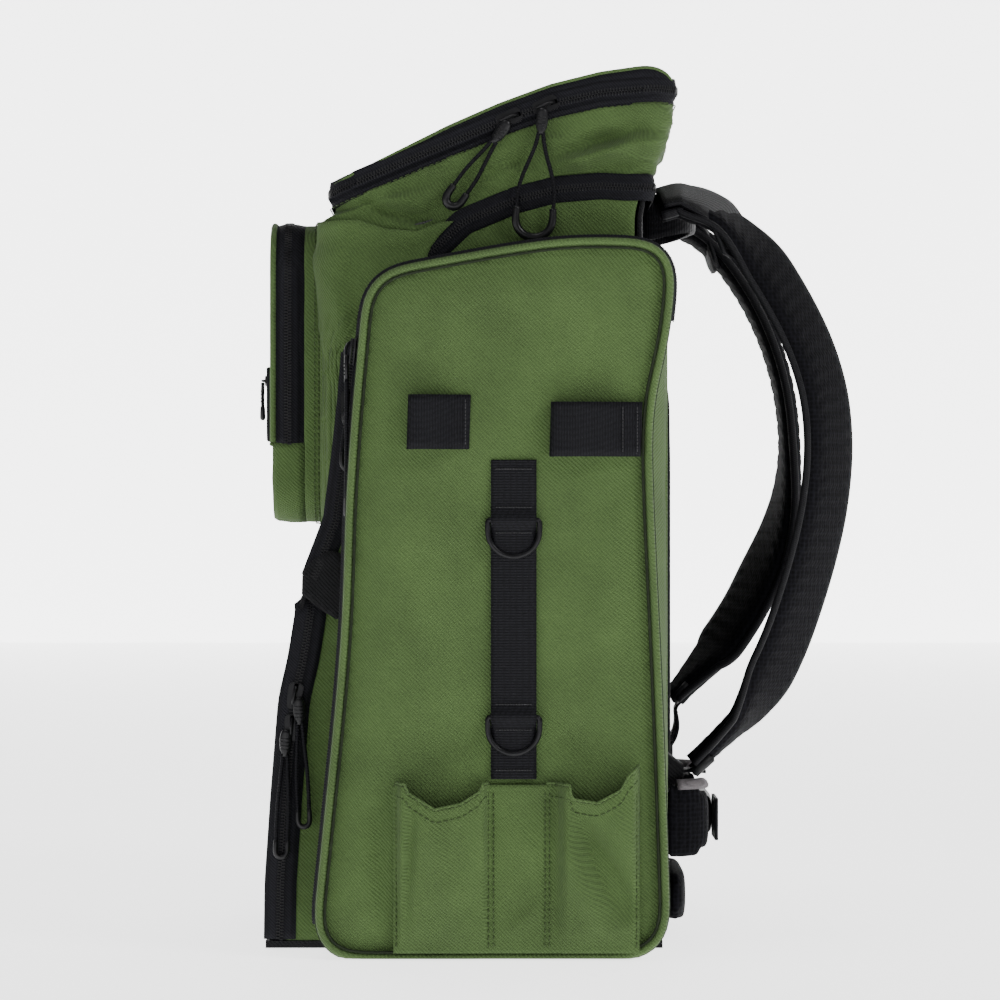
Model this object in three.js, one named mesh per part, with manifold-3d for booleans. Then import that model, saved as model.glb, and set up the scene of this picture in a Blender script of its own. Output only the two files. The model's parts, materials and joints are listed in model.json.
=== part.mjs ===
// Tackle backpack: a U-zipped main compartment under a boxed top, a lower compartment with its own
// drop-down door, zipped side pockets with rod loops, and a padded harness.
// Millimetres, +Z up, +Y towards the wearer, +X towards the wearer's right. Origin: centre of the base.
import * as THREE from "three";
import { mergeVertices } from "three/addons/utils/BufferGeometryUtils.js";
import Module from "manifold-3d";

const wasm = await Module();
wasm.setup();

// ---- driving dimensions ----
const HALF_WIDTH = 120; // half the width of the main body
const WALL = 3; // thickness of a padded fabric wall
const GAP = 0.3; // clearance between neighbouring pieces
const BACK_Y = 110; // outer face of the back panel, lower part
const FRONT_Y = -113.4; // front face of the lower door at its foot
const BASE_TOP = 4; // top of the bottom panel
const SHELF_Z = [203.4, 206.4]; // divider between the two compartments
const SIDE_DEPTH = [120.3, 166]; // side pocket gusset, across the pack
const SIDE_DOOR = [167, 178]; // side pocket door, across the pack
const POCKET_HALF = 100; // half the width of the upper front pocket
const WEBBING = 25; // webbing width
const WEB_THICK = 2; // webbing thickness
const STRAP_WIDTH = 60; // shoulder strap width
const STRAP_THICK = 13; // shoulder strap thickness
const STRAP_CENTRE_X = 75; // shoulder strap, distance from the middle of the back
const SLIDER = { width: 8, length: 16, depth: 3.8 }; // zip slider
const PULL_THICK = 2.6; // cord pull, front to back
const BELT_Z = [46, 92]; // hip wings, foot and top

// ---- zip lines and profiles, as [y, z] ----
const MAIN_ZIP = [
  [-86.5, 208.2], [-74, 241], [-69, 280], [-66, 308], [-63, 345], [-50, 368], [-35, 382],
  [-18, 394], [-2, 409], [27, 421], [50, 427], [75, 429], [97.4, 427.7],
];
const LID_ZIP = [
  [-76.5, 424.5], [-38, 441], [18.5, 464.5], [47, 474.5], [75, 481], [103, 483.5], [117, 483],
];
const BOX_FLOOR = [[-77, 396], [-20, 407], [20, 426], [60, 435], [101, 436]];
const BACK_OUTER = [
  [BACK_Y, BASE_TOP + GAP], [BACK_Y, 290], [104.5, 335], [99.5, 390], [99.5, 412], [103, 427],
];
const LOWER_FRONT = [
  [FRONT_Y, 5], [-113, 37], [-110, 82], [-105.5, 139], [-100, 163], [-95, 195], [-92, 201.5],
];
const SIDE_OUTLINE = [
  [-83, 1, 26], [-65, 177, 60], [-63.3, 262, 80], [-53, 375, 20], [36, 391.5, 60], [72, 394, 30],
  [113, 391.5, 26], [109.5, 345, 50], [99, 303, 40], [99.5, 255, 60], [104.8, 150, 80], [109.8, 2, 26],
];

const POCKET_MIDDLE = [22, 197]; // middle of the side pocket's outline
const POCKET_END = 150; // corners further than this above or below the middle end the outline

const GREEN = 0x4f6b2c;
const BLACK = 0x15161a;
const GROUP = new THREE.Group();

function material(color, roughness, metalness = 0) {
  return new THREE.MeshStandardMaterial({ color, roughness, metalness });
}

const finish = {
  green: () => material(GREEN, 0.85),
  webbing: () => material(BLACK, 0.75),
  padding: () => material(0x17181b, 0.9),
  mesh: () => material(0x1c1d20, 0.9),
  sheet: () => material(0x202225, 0.5),
  plastic: () => material(0x121214, 0.45),
  slider: () => material(0x1a1a1c, 0.4, 0.6),
  rubber: () => material(0x0e0e10, 0.35),
};

function add(name, geometry, look) {
  const mesh = new THREE.Mesh(geometry, look);
  mesh.name = name;
  GROUP.add(mesh);
}

// ---- shapes ----
// A closed outline through [u, v] or [u, v, radius] corners; a radius rounds that corner.
function rounded(points) {
  const shape = new THREE.Shape();
  points.forEach(([u, v, radius = 0], i) => {
    const corner = new THREE.Vector2(u, v);
    const before = points.at(i - 1);
    const after = points[(i + 1) % points.length];
    const toward = (p) => {
      const way = new THREE.Vector2(p[0], p[1]).sub(corner);
      return corner.clone().addScaledVector(way, Math.min(radius / way.length(), 0.48));
    };
    const start = radius ? toward(before) : corner;
    if (i === 0) shape.moveTo(start.x, start.y);
    else shape.lineTo(start.x, start.y);
    if (radius) {
      const end = toward(after);
      shape.quadraticCurveTo(u, v, end.x, end.y);
    }
  });
  shape.closePath();
  return shape;
}

function extrude(shape, depth, curveSegments = 5) {
  return new THREE.ExtrudeGeometry(shape, { depth, bevelEnabled: false, curveSegments });
}

const asShape = (outline) => (outline instanceof THREE.Shape ? outline : rounded(outline));

// An outline in the YZ plane, from x0 to x1.
function plateYZ(outline, x0, x1) {
  const place = new THREE.Matrix4().makeBasis(
    new THREE.Vector3(0, 1, 0), new THREE.Vector3(0, 0, 1), new THREE.Vector3(1, 0, 0),
  ).setPosition(x0, 0, 0);
  return extrude(asShape(outline), x1 - x0).applyMatrix4(place);
}

// An outline in the XZ plane, from y0 to y1.
function plateXZ(outline, y0, y1) {
  const place = new THREE.Matrix4().makeBasis(
    new THREE.Vector3(1, 0, 0), new THREE.Vector3(0, 0, 1), new THREE.Vector3(0, -1, 0),
  ).setPosition(0, y1, 0);
  return extrude(asShape(outline), y1 - y0).applyMatrix4(place);
}

// An outline in the XY plane, from z0 to z1.
function plateXY(outline, z0, z1) {
  return extrude(asShape(outline), z1 - z0).translate(0, 0, z0);
}

function block(low, high) {
  const size = high.map((value, i) => value - low[i]);
  return new THREE.BoxGeometry(...size).translate(...low.map((value, i) => value + size[i] / 2));
}

function box(u0, v0, u1, v1, radius = 0) {
  return [[u0, v0, radius], [u1, v0, radius], [u1, v1, radius], [u0, v1, radius]];
}

// The same shape on the other side of the pack.
function mirrored(geometry) {
  const flipped = geometry.index ? geometry.toNonIndexed() : geometry.clone();
  flipped.scale(-1, 1, 1);
  const place = flipped.getAttribute("position");
  for (let i = 0; i < place.count; i += 3) {
    const [x, y, z] = [place.getX(i), place.getY(i), place.getZ(i)];
    place.setXYZ(i, place.getX(i + 1), place.getY(i + 1), place.getZ(i + 1));
    place.setXYZ(i + 1, x, y, z);
  }
  flipped.computeVertexNormals();
  return flipped;
}

const onSide = (geometry, side) => (side > 0 ? geometry : mirrored(geometry));

// ---- joining and cutting ----
function solid(geometry) {
  const bare = geometry.clone();
  bare.deleteAttribute("normal");
  bare.deleteAttribute("uv");
  const merged = mergeVertices(bare, 1e-4);
  const vertProperties = new Float32Array(merged.getAttribute("position").array);
  const triVerts = new Uint32Array(merged.index.array);
  return new wasm.Manifold(new wasm.Mesh({ numProp: 3, vertProperties, triVerts }));
}

function geometryOf(shape) {
  const { numProp, vertProperties, triVerts } = shape.getMesh();
  const place = new Float32Array((vertProperties.length / numProp) * 3);
  for (let i = 0; i < place.length / 3; i++) {
    for (let k = 0; k < 3; k++) place[i * 3 + k] = vertProperties[i * numProp + k];
  }
  const geometry = new THREE.BufferGeometry();
  geometry.setAttribute("position", new THREE.BufferAttribute(place, 3));
  geometry.setIndex(new THREE.BufferAttribute(new Uint32Array(triVerts), 1));
  geometry.computeVertexNormals();
  return geometry;
}

const join = (...parts) => geometryOf(parts.map(solid).reduce((a, b) => a.add(b)));
const cut = (body, ...tools) => geometryOf(tools.map(solid).reduce((a, b) => a.subtract(b), solid(body)));

// ---- lines moved or thickened ----
const shifted = (line, dy, dz) => line.map(([y, z, ...rest]) => [y + dy, z + dz, ...rest]);

// Points either side of a smooth centre line, as one closed band.
function band(centre, thickness, steps) {
  const curve = new THREE.SplineCurve(centre.map(([u, v]) => new THREE.Vector2(u, v)));
  const left = [];
  const right = [];
  for (let i = 0; i <= steps; i++) {
    const at = curve.getPointAt(i / steps);
    const way = curve.getTangentAt(i / steps);
    left.push([at.x - way.y * thickness / 2, at.y + way.x * thickness / 2]);
    right.push([at.x + way.y * thickness / 2, at.y - way.x * thickness / 2]);
  }
  return [...right, ...left.reverse()];
}

// ---- main body shell ----
function buildShell() {
  const inner = HALF_WIDTH - WALL - GAP;
  const panelThick = 5;
  const backInner = shifted(BACK_OUTER, -panelThick, 0);
  add("bottom_panel", block([-HALF_WIDTH, FRONT_Y, 0], [HALF_WIDTH, BACK_Y, BASE_TOP]), finish.webbing());
  const back = [...BACK_OUTER, ...backInner.toReversed()];
  add("back_panel", plateYZ(back, -HALF_WIDTH, HALF_WIDTH), finish.padding());
  const backFace = BACK_Y - panelThick - GAP;
  add("divider_shelf", block([-inner, -90.8, SHELF_Z[0]], [inner, backFace, SHELF_Z[1]]), finish.green());
  const sheetOuter = [[backFace, 208], [backFace, 290], [99.2, 335], [94.4, 385]];
  const sheet = [...sheetOuter, ...shifted(sheetOuter, -2, 0).toReversed()];
  add("frame_sheet", plateYZ(sheet, -105, 105), finish.sheet());
  const doorBack = shifted(LOWER_FRONT, 8.9, 0);
  const wall = [
    [doorBack[0][0], BASE_TOP + GAP], ...doorBack.slice(1, -1), [-83, SHELF_Z[0] - 1], [-83, SHELF_Z[0]],
    [-90.8, SHELF_Z[0]], [-90.8, SHELF_Z[1]], ...shifted(MAIN_ZIP, GAP, -GAP),
    ...shifted(backInner, -GAP, 0).toReversed().slice(1),
  ];
  add("side_wall_right", plateYZ(wall, HALF_WIDTH - WALL, HALF_WIDTH), finish.green());
  add("side_wall_left", plateYZ(wall, -HALF_WIDTH, WALL - HALF_WIDTH), finish.green());
}

// ---- lower compartment door ----
function buildLowerDoor() {
  const door = [...LOWER_FRONT, ...shifted(LOWER_FRONT, 8, 0).toReversed()];
  add("lower_door", plateYZ(door, GAP - HALF_WIDTH, HALF_WIDTH - GAP), finish.webbing());
}

// ---- main flap: front wall with side returns, the boxed top on it, and the lid ----
function buildFlap() {
  const faceOuter = [[-91.5, 210], [-81, 237], [-81, 394]];
  const front = [...faceOuter, ...shifted(faceOuter, WALL, 0).toReversed()];
  const zip = shifted(MAIN_ZIP, -GAP, GAP);
  const floor = shifted(BOX_FLOOR, 0, -GAP).slice(1, -1);
  const side = [
    [-91.5, 210], ...zip.slice(1, -1), [98.5, 428.3], [98.5, 435.4], ...floor.toReversed(),
    [-76.5, 395.8], [-81, 394], [-81, 237],
  ];
  const returns = [1, -1].map((way) => {
    const x = [way * HALF_WIDTH, way * (HALF_WIDTH - WALL)];
    return plateYZ(side, Math.min(...x), Math.max(...x));
  });
  const plate = plateYZ(front, -HALF_WIDTH, HALF_WIDTH);
  add("flap_front_panel", join(plate, ...returns), finish.green());

  const half = HALF_WIDTH - GAP;
  const rim = shifted(LID_ZIP, 0, -GAP);
  const boxOuter = [
    ...BOX_FLOOR, [101, 428.6], [104.5, 428.6], [108.5, 440], [114, 460], [117, 474],
    ...rim.toReversed(),
  ];
  const cavity = [
    ...shifted(BOX_FLOOR.slice(1, -1), 0, WALL), [104.5, 440], [111, 460], [113.8, 474], [113.8, 500],
    [-73.5, 500], [-73.9, 399.7],
  ];
  const tub = cut(plateYZ(boxOuter, -half, half), plateYZ(cavity, WALL - half, half - WALL));
  add("top_box", tub, finish.green());

  const lid = [
    ...LID_ZIP.slice(0, -1), [117, 483.3], [117, 486], [113, 493, 5], [103, 497, 8], [75, 493], [47, 486],
    [18.5, 475.5], [-10, 463], [-38, 449], [-77, 429.5, 2],
  ];
  add("top_lid", plateYZ(lid, -half, half), finish.green());
}

// ---- upper front pocket ----
function buildUpperPocket() {
  const outline = box(-POCKET_HALF, 240, POCKET_HALF, 409, 26);
  const hollow = box(-POCKET_HALF + 4, 244, POCKET_HALF - 4, 405, 23);
  const body = plateXZ(outline, -112, -81.3);
  const inside = plateXZ(hollow, -109, -80);
  const doorSpace = block([-POCKET_HALF - 1, -113, 283.6], [POCKET_HALF + 1, -101.8, 410]);
  add("upper_pocket_base", cut(body, inside, doorSpace), finish.green());
  const door = [[-POCKET_HALF, 284], [POCKET_HALF, 284], [POCKET_HALF, 409, 26], [-POCKET_HALF, 409, 26]];
  add("upper_pocket_door", plateXZ(door, -112, -102.3), finish.green());
  add("mesh_pocket", plateXZ(box(-78, 287, 78, 327, 6), -114.3, -112.3), finish.mesh());
}

// ---- side pockets ----
function buildSidePocket(side, name) {
  const shell = plateYZ(SIDE_OUTLINE, ...SIDE_DEPTH);
  // The inside of the gusset: every corner moved in by the wall, the foot and top corners up or down too.
  const inward = ([y, z, r]) => {
    const rise = Math.abs(z - POCKET_MIDDLE[1]) > POCKET_END ? Math.sign(POCKET_MIDDLE[1] - z) * WALL : 0;
    return [y + Math.sign(POCKET_MIDDLE[0] - y) * WALL, z + rise, r];
  };
  const inside = SIDE_OUTLINE.map(inward);
  const gusset = cut(shell, plateYZ(inside, SIDE_DEPTH[0] - 1, SIDE_DEPTH[1] + 1));
  add(`side_gusset_${name}`, onSide(gusset, side), finish.green());
  add(`side_door_${name}`, onSide(plateYZ(SIDE_OUTLINE, ...SIDE_DOOR), side), finish.green());

  const face = SIDE_DOOR[1] + GAP;
  const pouches = [
    [face, -40], [face + 8, -35, 4], [face + 9.5, -13, 6], [face + 8, 8, 4], [face + 1.5, 14],
    [face + 1.5, 43], [face + 8, 48, 4], [face + 9.5, 68, 6], [face + 8, 88, 4], [face, 95],
  ];
  const cloth = plateXY(pouches, 3.5, 97);
  const hollows = [[-36.5, 10.5], [46.5, 90.5]].map(([y0, y1]) => {
    const room = [[face - 1, y0], [face + 6.6, y0 + 3, 3], [face + 6.6, y1 - 3, 3], [face - 1, y1]];
    return plateXY(room, 6, 98);
  });
  add(`slip_pockets_${name}`, onSide(cut(cloth, ...hollows), side), finish.green());

  const strip = block([face, 26 - WEBBING / 2, 99], [face + WEB_THICK, 26 + WEBBING / 2, 274]);
  add(`webbing_strip_${name}`, onSide(strip, side), finish.webbing());

  // A rod loop stands proud at its front end and is sewn down at its back end.
  const loops = { front: [-33.5, 2.6], back: [44.8, 96.8] };
  for (const [where, [y0, y1]] of Object.entries(loops)) {
    const length = y1 - y0;
    const outer = [
      [face, y0], [face + 11, y0 + 2, 5], [face + 11, y0 + length * 0.45, 8],
      [face + WEB_THICK, y1 - 8], [face + WEB_THICK, y1], [face, y1],
    ];
    const gap = [
      [face - 1, y0 + 3], [face + 8.6, y0 + 4.4, 4], [face + 8.6, y0 + length * 0.43, 6],
      [face - 1, y1 - 11],
    ];
    const loop = cut(plateXY(outer, 279, 309), plateXY(gap, 270, 320));
    add(`loop_${where}_${name}`, onSide(loop, side), finish.webbing());
  }

  for (const [where, z] of [["upper", 241], ["lower", 133]]) {
    const ring = new THREE.Shape();
    ring.moveTo(-15.7, 1.5).lineTo(-15.7, -6);
    ring.absarc(0, -6, 15.7, Math.PI, 0, false);
    ring.lineTo(15.7, 1.5).closePath();
    const hole = new THREE.Path();
    hole.moveTo(-12.7, -1.5).lineTo(-12.7, -6);
    hole.absarc(0, -6, 12.7, Math.PI, 0, false);
    hole.lineTo(12.7, -1.5).closePath();
    ring.holes.push(hole);
    const place = new THREE.Matrix4().makeBasis(
      new THREE.Vector3(0, 1, 0), new THREE.Vector3(0, 0, 1), new THREE.Vector3(1, 0, 0),
    ).setPosition(face + WEB_THICK + 0.9, 26, z);
    add(`d_ring_${where}_${name}`, onSide(extrude(ring, 3, 6).applyMatrix4(place), side), finish.slider());
  }
}

// ---- harness ----
const HARNESS = [
  {
    side: 1,
    name: "right",
    centre: [[105.4, 419.3], [122, 423], [145, 416], [166, 398], [186, 371], [203, 337], [212, 295],
      [207, 236], [182.5, 158], [164, 133], [140, 108]],
    lock: [133.4, 100.6, 0.82],
    tail: [[110.5, 95.2], [119, 94.2], [126.6, 95.2]],
  },
  {
    side: -1,
    name: "left",
    centre: [[105.4, 419.3], [122, 423], [143, 411], [168, 379], [182.5, 349], [190.5, 323], [195, 288],
      [193, 252], [184, 222], [162, 176.5], [134, 142]],
    lock: [127.6, 135, 0.86],
    tail: [[111.2, 96], [122, 104], [126, 116], [123, 127.4]],
  },
];

function buildHarness() {
  for (const { side, name, centre, lock, tail } of HARNESS) {
    const x = [side * (STRAP_CENTRE_X - STRAP_WIDTH / 2), side * (STRAP_CENTRE_X + STRAP_WIDTH / 2)];
    const strap = plateYZ(band(centre, STRAP_THICK, 22), Math.min(...x), Math.max(...x));
    add(`shoulder_strap_${name}`, strap, finish.padding());
    const buckle = new THREE.BoxGeometry(32, 12, 5);
    buckle.rotateX(lock[2]).translate(side * STRAP_CENTRE_X, lock[0], lock[1]);
    add(`ladder_lock_${name}`, buckle, finish.plastic());
    const mid = side * STRAP_CENTRE_X;
    const web = plateYZ(band(tail, WEB_THICK, 8), mid - WEBBING / 2, mid + WEBBING / 2);
    add(`strap_webbing_${name}`, web, finish.webbing());

    const wing = [
      [72, 131], [82, 127], [91, 119], [94, 110.5], [104, 110.5], [101, 122], [90, 134], [72, 141],
    ];
    add(`hip_wing_${name}`, onSide(plateXY(wing, ...BELT_Z), side), finish.padding());
  }
  const handle = cut(
    plateXY([[-43, 103.6], [-38, 132, 24], [38, 132, 24], [43, 103.6]], 403, 427),
    plateXY([[-38, 99], [-34, 128, 20], [34, 128, 20], [38, 99]], 400, 430),
  );
  add("grab_handle", handle, finish.webbing());
  add("lumbar_pad", plateXZ(box(-70, 6, 70, 41, 8), BACK_Y + GAP, 128), finish.padding());
}

// ---- hip belt buckle: the plug's tongue slides into the socket from +X ----
function buildBuckle() {
  const socket = cut(block([-36, 131, 54], [-0.5, 144, 82]), block([-31, 134, 58], [1, 141, 78]));
  const web = block([-71.5, 136.5, 55.5], [-35, 138.5, 80.5]);
  add("buckle_socket", join(socket, web), finish.plastic());
  const base = block([0.5, 132, 54], [22, 143.4, 82]);
  const tongue = block([-29, 135, 59], [1, 140, 77]);
  const tail = block([20, 141.6, 55.5], [64, 143.6, 80.5]);
  add("buckle_plug", join(base, tongue, tail), finish.plastic());
}

// ---- zip sliders and their cord pulls ----
// at: slider centre on the wall; turn: zip direction, degrees from upright in the plane of the wall;
// pin: the pull's pivot, from the slider centre, across and up; lean: the pull's lie, degrees from plumb.
const RIGHT = new THREE.Vector3(1, 0, 0);
const LEFT = new THREE.Vector3(-1, 0, 0);
const FRONT = new THREE.Vector3(0, -1, 0);
const ZIPS = [
  {
    name: "lid_rear", wall: RIGHT, at: [120, 44, 473.9], turn: -70.7,
    pin: [-1.5, -3], lean: -5, pull: [74, 24],
  },
  {
    name: "lid_front", wall: RIGHT, at: [120, 23.5, 466.8], turn: -70.7,
    pin: [-1, -3], lean: -35, pull: [62, 12],
  },
  { name: "main_right", wall: RIGHT, at: [120, -67, 306], turn: -5.3, pin: [0, -3], pull: [36, 7.4] },
  { name: "main_left", wall: LEFT, at: [-120, -67, 306], turn: 5.3, pin: [0, -3], pull: [36, 7.4] },
  { name: "side_right", wall: FRONT, at: [168, -60.2, 334], turn: 0, pin: [0, -3], pull: [90, 7] },
  { name: "side_left", wall: FRONT, at: [-168, -60.2, 334], turn: 0, pin: [0, -3], pull: [90, 7] },
  {
    name: "lower_upper", wall: RIGHT, at: [120, -97, 142], turn: -12,
    pin: [2.5, -2], lean: 3.5, pull: [74, 9],
  },
  {
    name: "lower_lower", wall: RIGHT, at: [120, -98.6, 124], turn: -4.5,
    pin: [-3, -2], lean: -3, pull: [73, 9],
  },
  { name: "mesh", wall: FRONT, at: [50, -114.3, 321], turn: 90, pin: [0, -2], pull: [22, 8], thin: 0.75 },
];

// A cord pull seen from the front: a narrow tab that opens into a loop with a rounded grip.
function pullShape(length, width) {
  const tab = Math.min(15, length * 0.3);
  const half = width / 2;
  const shape = rounded([
    [-2.4, 0.4], [-2.4, -tab], [-half, half - length, 0], [-half, -length, half], [half, -length, half],
    [half, half - length, 0], [2.4, -tab], [2.4, 0.4],
  ]);
  const slot = half - 2.2;
  if (slot > 0.8) {
    const narrow = slot * 0.7;
    shape.holes.push(rounded([
      [0, -tab - 4], [slot, half - length + 1], [narrow, 3.4 - length], [-narrow, 3.4 - length],
      [-slot, half - length + 1],
    ]));
  }
  return shape;
}

function buildZips() {
  for (const { name, wall, at, turn, pin, lean = 0, pull, thin = 1 } of ZIPS) {
    const up = new THREE.Vector3(0, 0, 1);
    const across = new THREE.Vector3().crossVectors(up, wall);
    const frame = new THREE.Matrix4().makeBasis(across, up, wall).setPosition(...at);
    const depth = SLIDER.depth * thin;
    const body = new THREE.BoxGeometry(SLIDER.width, SLIDER.length, depth);
    body.rotateZ(THREE.MathUtils.degToRad(turn)).translate(0, 0, 0.4 + depth / 2).applyMatrix4(frame);
    add(`slider_${name}`, body, finish.slider());
    const tag = extrude(pullShape(...pull), PULL_THICK * thin, 4);
    tag.rotateZ(THREE.MathUtils.degToRad(lean)).translate(pin[0], pin[1], 0.8 + depth);
    add(`pull_${name}`, tag.applyMatrix4(frame), finish.rubber());
  }
}

buildShell();
buildLowerDoor();
buildFlap();
buildUpperPocket();
buildSidePocket(1, "right");
buildSidePocket(-1, "left");
buildHarness();
buildBuckle();
buildZips();

export default GROUP;
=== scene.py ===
import json
import math

import bpy
from mathutils import Matrix, Vector, geometry, noise


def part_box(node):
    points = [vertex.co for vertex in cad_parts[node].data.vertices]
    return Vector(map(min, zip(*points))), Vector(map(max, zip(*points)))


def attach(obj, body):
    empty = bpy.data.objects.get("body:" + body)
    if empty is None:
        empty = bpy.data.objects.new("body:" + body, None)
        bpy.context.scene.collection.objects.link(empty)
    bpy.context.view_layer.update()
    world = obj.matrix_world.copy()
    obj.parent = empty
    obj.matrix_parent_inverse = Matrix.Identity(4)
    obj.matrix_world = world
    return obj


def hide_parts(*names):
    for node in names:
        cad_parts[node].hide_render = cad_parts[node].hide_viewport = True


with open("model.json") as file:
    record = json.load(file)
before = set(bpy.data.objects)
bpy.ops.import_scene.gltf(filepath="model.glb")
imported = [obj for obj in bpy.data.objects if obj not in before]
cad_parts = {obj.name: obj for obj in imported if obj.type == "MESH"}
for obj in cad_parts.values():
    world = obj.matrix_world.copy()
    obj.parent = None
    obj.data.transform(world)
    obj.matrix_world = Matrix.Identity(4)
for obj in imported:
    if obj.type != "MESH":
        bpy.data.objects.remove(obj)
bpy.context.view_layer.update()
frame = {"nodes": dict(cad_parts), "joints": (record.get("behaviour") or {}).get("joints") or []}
MM = 0.001
SIDES = (("right", 1), ("left", -1))
ACROSS, REARWARD, UP = Vector((1, 0, 0)), Vector((0, 1, 0)), Vector((0, 0, 1))


# ---- numbers read from the frame, in millimetres ----
def box(node):
    low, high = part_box(node)
    return low / MM, high / MM


def outline(node, axis, top=True):
    """The edge of a CAD node's flat end face, as an ordered loop of the other two coordinates."""
    mesh = frame["nodes"][node].data
    level = box(node)[1 if top else 0][axis]
    keep = [i for i in range(3) if i != axis]
    count, place = {}, {}
    for poly in mesh.polygons:
        corners = [mesh.vertices[i].co / MM for i in poly.vertices]
        if any(abs(c[axis] - level) > 0.05 for c in corners):
            continue
        keys = [tuple(round(c[k], 2) for k in keep) for c in corners]
        for key in keys:
            place[key] = Vector(key)
        for a, b in zip(keys, keys[1:] + keys[:1]):
            count[frozenset((a, b))] = count.get(frozenset((a, b)), 0) + 1
    links = {}
    for edge in (e for e, n in count.items() if n == 1 and len(e) == 2):
        a, b = edge
        links.setdefault(a, []).append(b)
        links.setdefault(b, []).append(a)
    loops, seen = [], set()
    for start in sorted(links):
        if start in seen:
            continue
        loop, here, before = [], start, None
        while here not in seen:
            seen.add(here)
            loop.append(here)
            onward = [n for n in links[here] if n != before and n not in seen]
            before, here = here, (sorted(onward)[0] if onward else start)
        loops.append([place[k] for k in loop])
    longest = max(loops, key=lambda l: sum((a - b).length for a, b in zip(l, l[1:] + l[:1])))
    area = sum(a.x * b.y - b.x * a.y for a, b in zip(longest, longest[1:] + longest[:1]))
    return longest if area > 0 else longest[::-1]


def stretch(loop, start, end):
    """The points of a loop from the one nearest start to the one nearest end, in the loop's order."""
    first = min(range(len(loop)), key=lambda i: (loop[i] - Vector(start)).length)
    last = min(range(len(loop)), key=lambda i: (loop[i] - Vector(end)).length)
    if last < first:
        last += len(loop)
    return [loop[i % len(loop)] for i in range(first, last + 1)]


def resample(points, step, closed=False):
    """Points at even steps of about step along a line."""
    points = [Vector(p) for p in points]
    line = points + points[:1] if closed else points
    lengths = [(b - a).length for a, b in zip(line, line[1:])]
    total = sum(lengths)
    count = max(2, round(total / step))
    made, k, done = [], 0, 0.0
    for i in range(count if closed else count + 1):
        at = total * i / count
        while k < len(lengths) - 1 and done + lengths[k] < at:
            done += lengths[k]
            k += 1
        share = min(1.0, (at - done) / max(lengths[k], 1e-9))
        made.append(line[k].lerp(line[k + 1], share))
    return made


def smooth(points, turns, closed=False):
    """A line with its corners eased; an open line keeps its two ends."""
    for _ in range(turns):
        before = points[-1:] + points[:-1]
        after = points[1:] + points[:1]
        eased = [(a + b * 2 + c) / 4 for a, b, c in zip(before, points, after)]
        points = eased if closed else [points[0]] + eased[1:-1] + [points[-1]]
    return points


def height_on(line, u):
    """Second coordinate of a line, given as points with a rising first coordinate, at u."""
    if u <= line[0][0]:
        return line[0][1]
    for a, b in zip(line, line[1:]):
        if u <= b[0]:
            return a[1] + (b[1] - a[1]) * (u - a[0]) / max(b[0] - a[0], 1e-9)
    return line[-1][1]


def turned(indices, count):
    """Indices round a closed loop of count points, started after their gap so that they run on."""
    first = next(k for k in range(len(indices)) if (indices[k] - indices[k - 1]) % count != 1)
    return indices[first:] + indices[:first]


def spread(start, end, count):
    """Even steps from start to end, both included."""
    return [start + (end - start) * i / count for i in range(count + 1)]


def ease(low, high, value):
    """0 below low, 1 above high and a smooth rise between them."""
    t = min(1.0, max(0.0, (value - low) / (high - low)))
    return t * t * (3 - 2 * t)


def ripple(point, size, seed=0.0):
    """Smooth noise from -1 to 1; size is the width of its bumps along each axis."""
    sizes = size if hasattr(size, "__len__") else (size,) * 3
    return noise.noise(Vector([c / s + seed for c, s in zip(point, sizes)]))


def crease(point, size, seed=0.0):
    """Sharp-crested folds from 0 to 1."""
    return max(0.0, 1 - 2.2 * abs(ripple(point, size, seed))) ** 2


def ridge(point, start, end, width):
    """A fold along a straight line, 1 on the line and 0 away from it, fading at both ends."""
    a, b, p = Vector(start), Vector(end), Vector(point)
    way = b - a
    t = (p - a).dot(way) / way.length_squared
    off = (p - a - way * min(1, max(0, t))).length
    return math.exp(-((off / width) ** 2)) * math.sin(math.pi * min(1, max(0.02, t * 0.9 + 0.05)))


def folds(point, table):
    """Height of a set of straight folds, given as (start, end, height, width), at a point."""
    return sum(height * ridge(point, start, end, width) for start, end, height, width in table)


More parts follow.
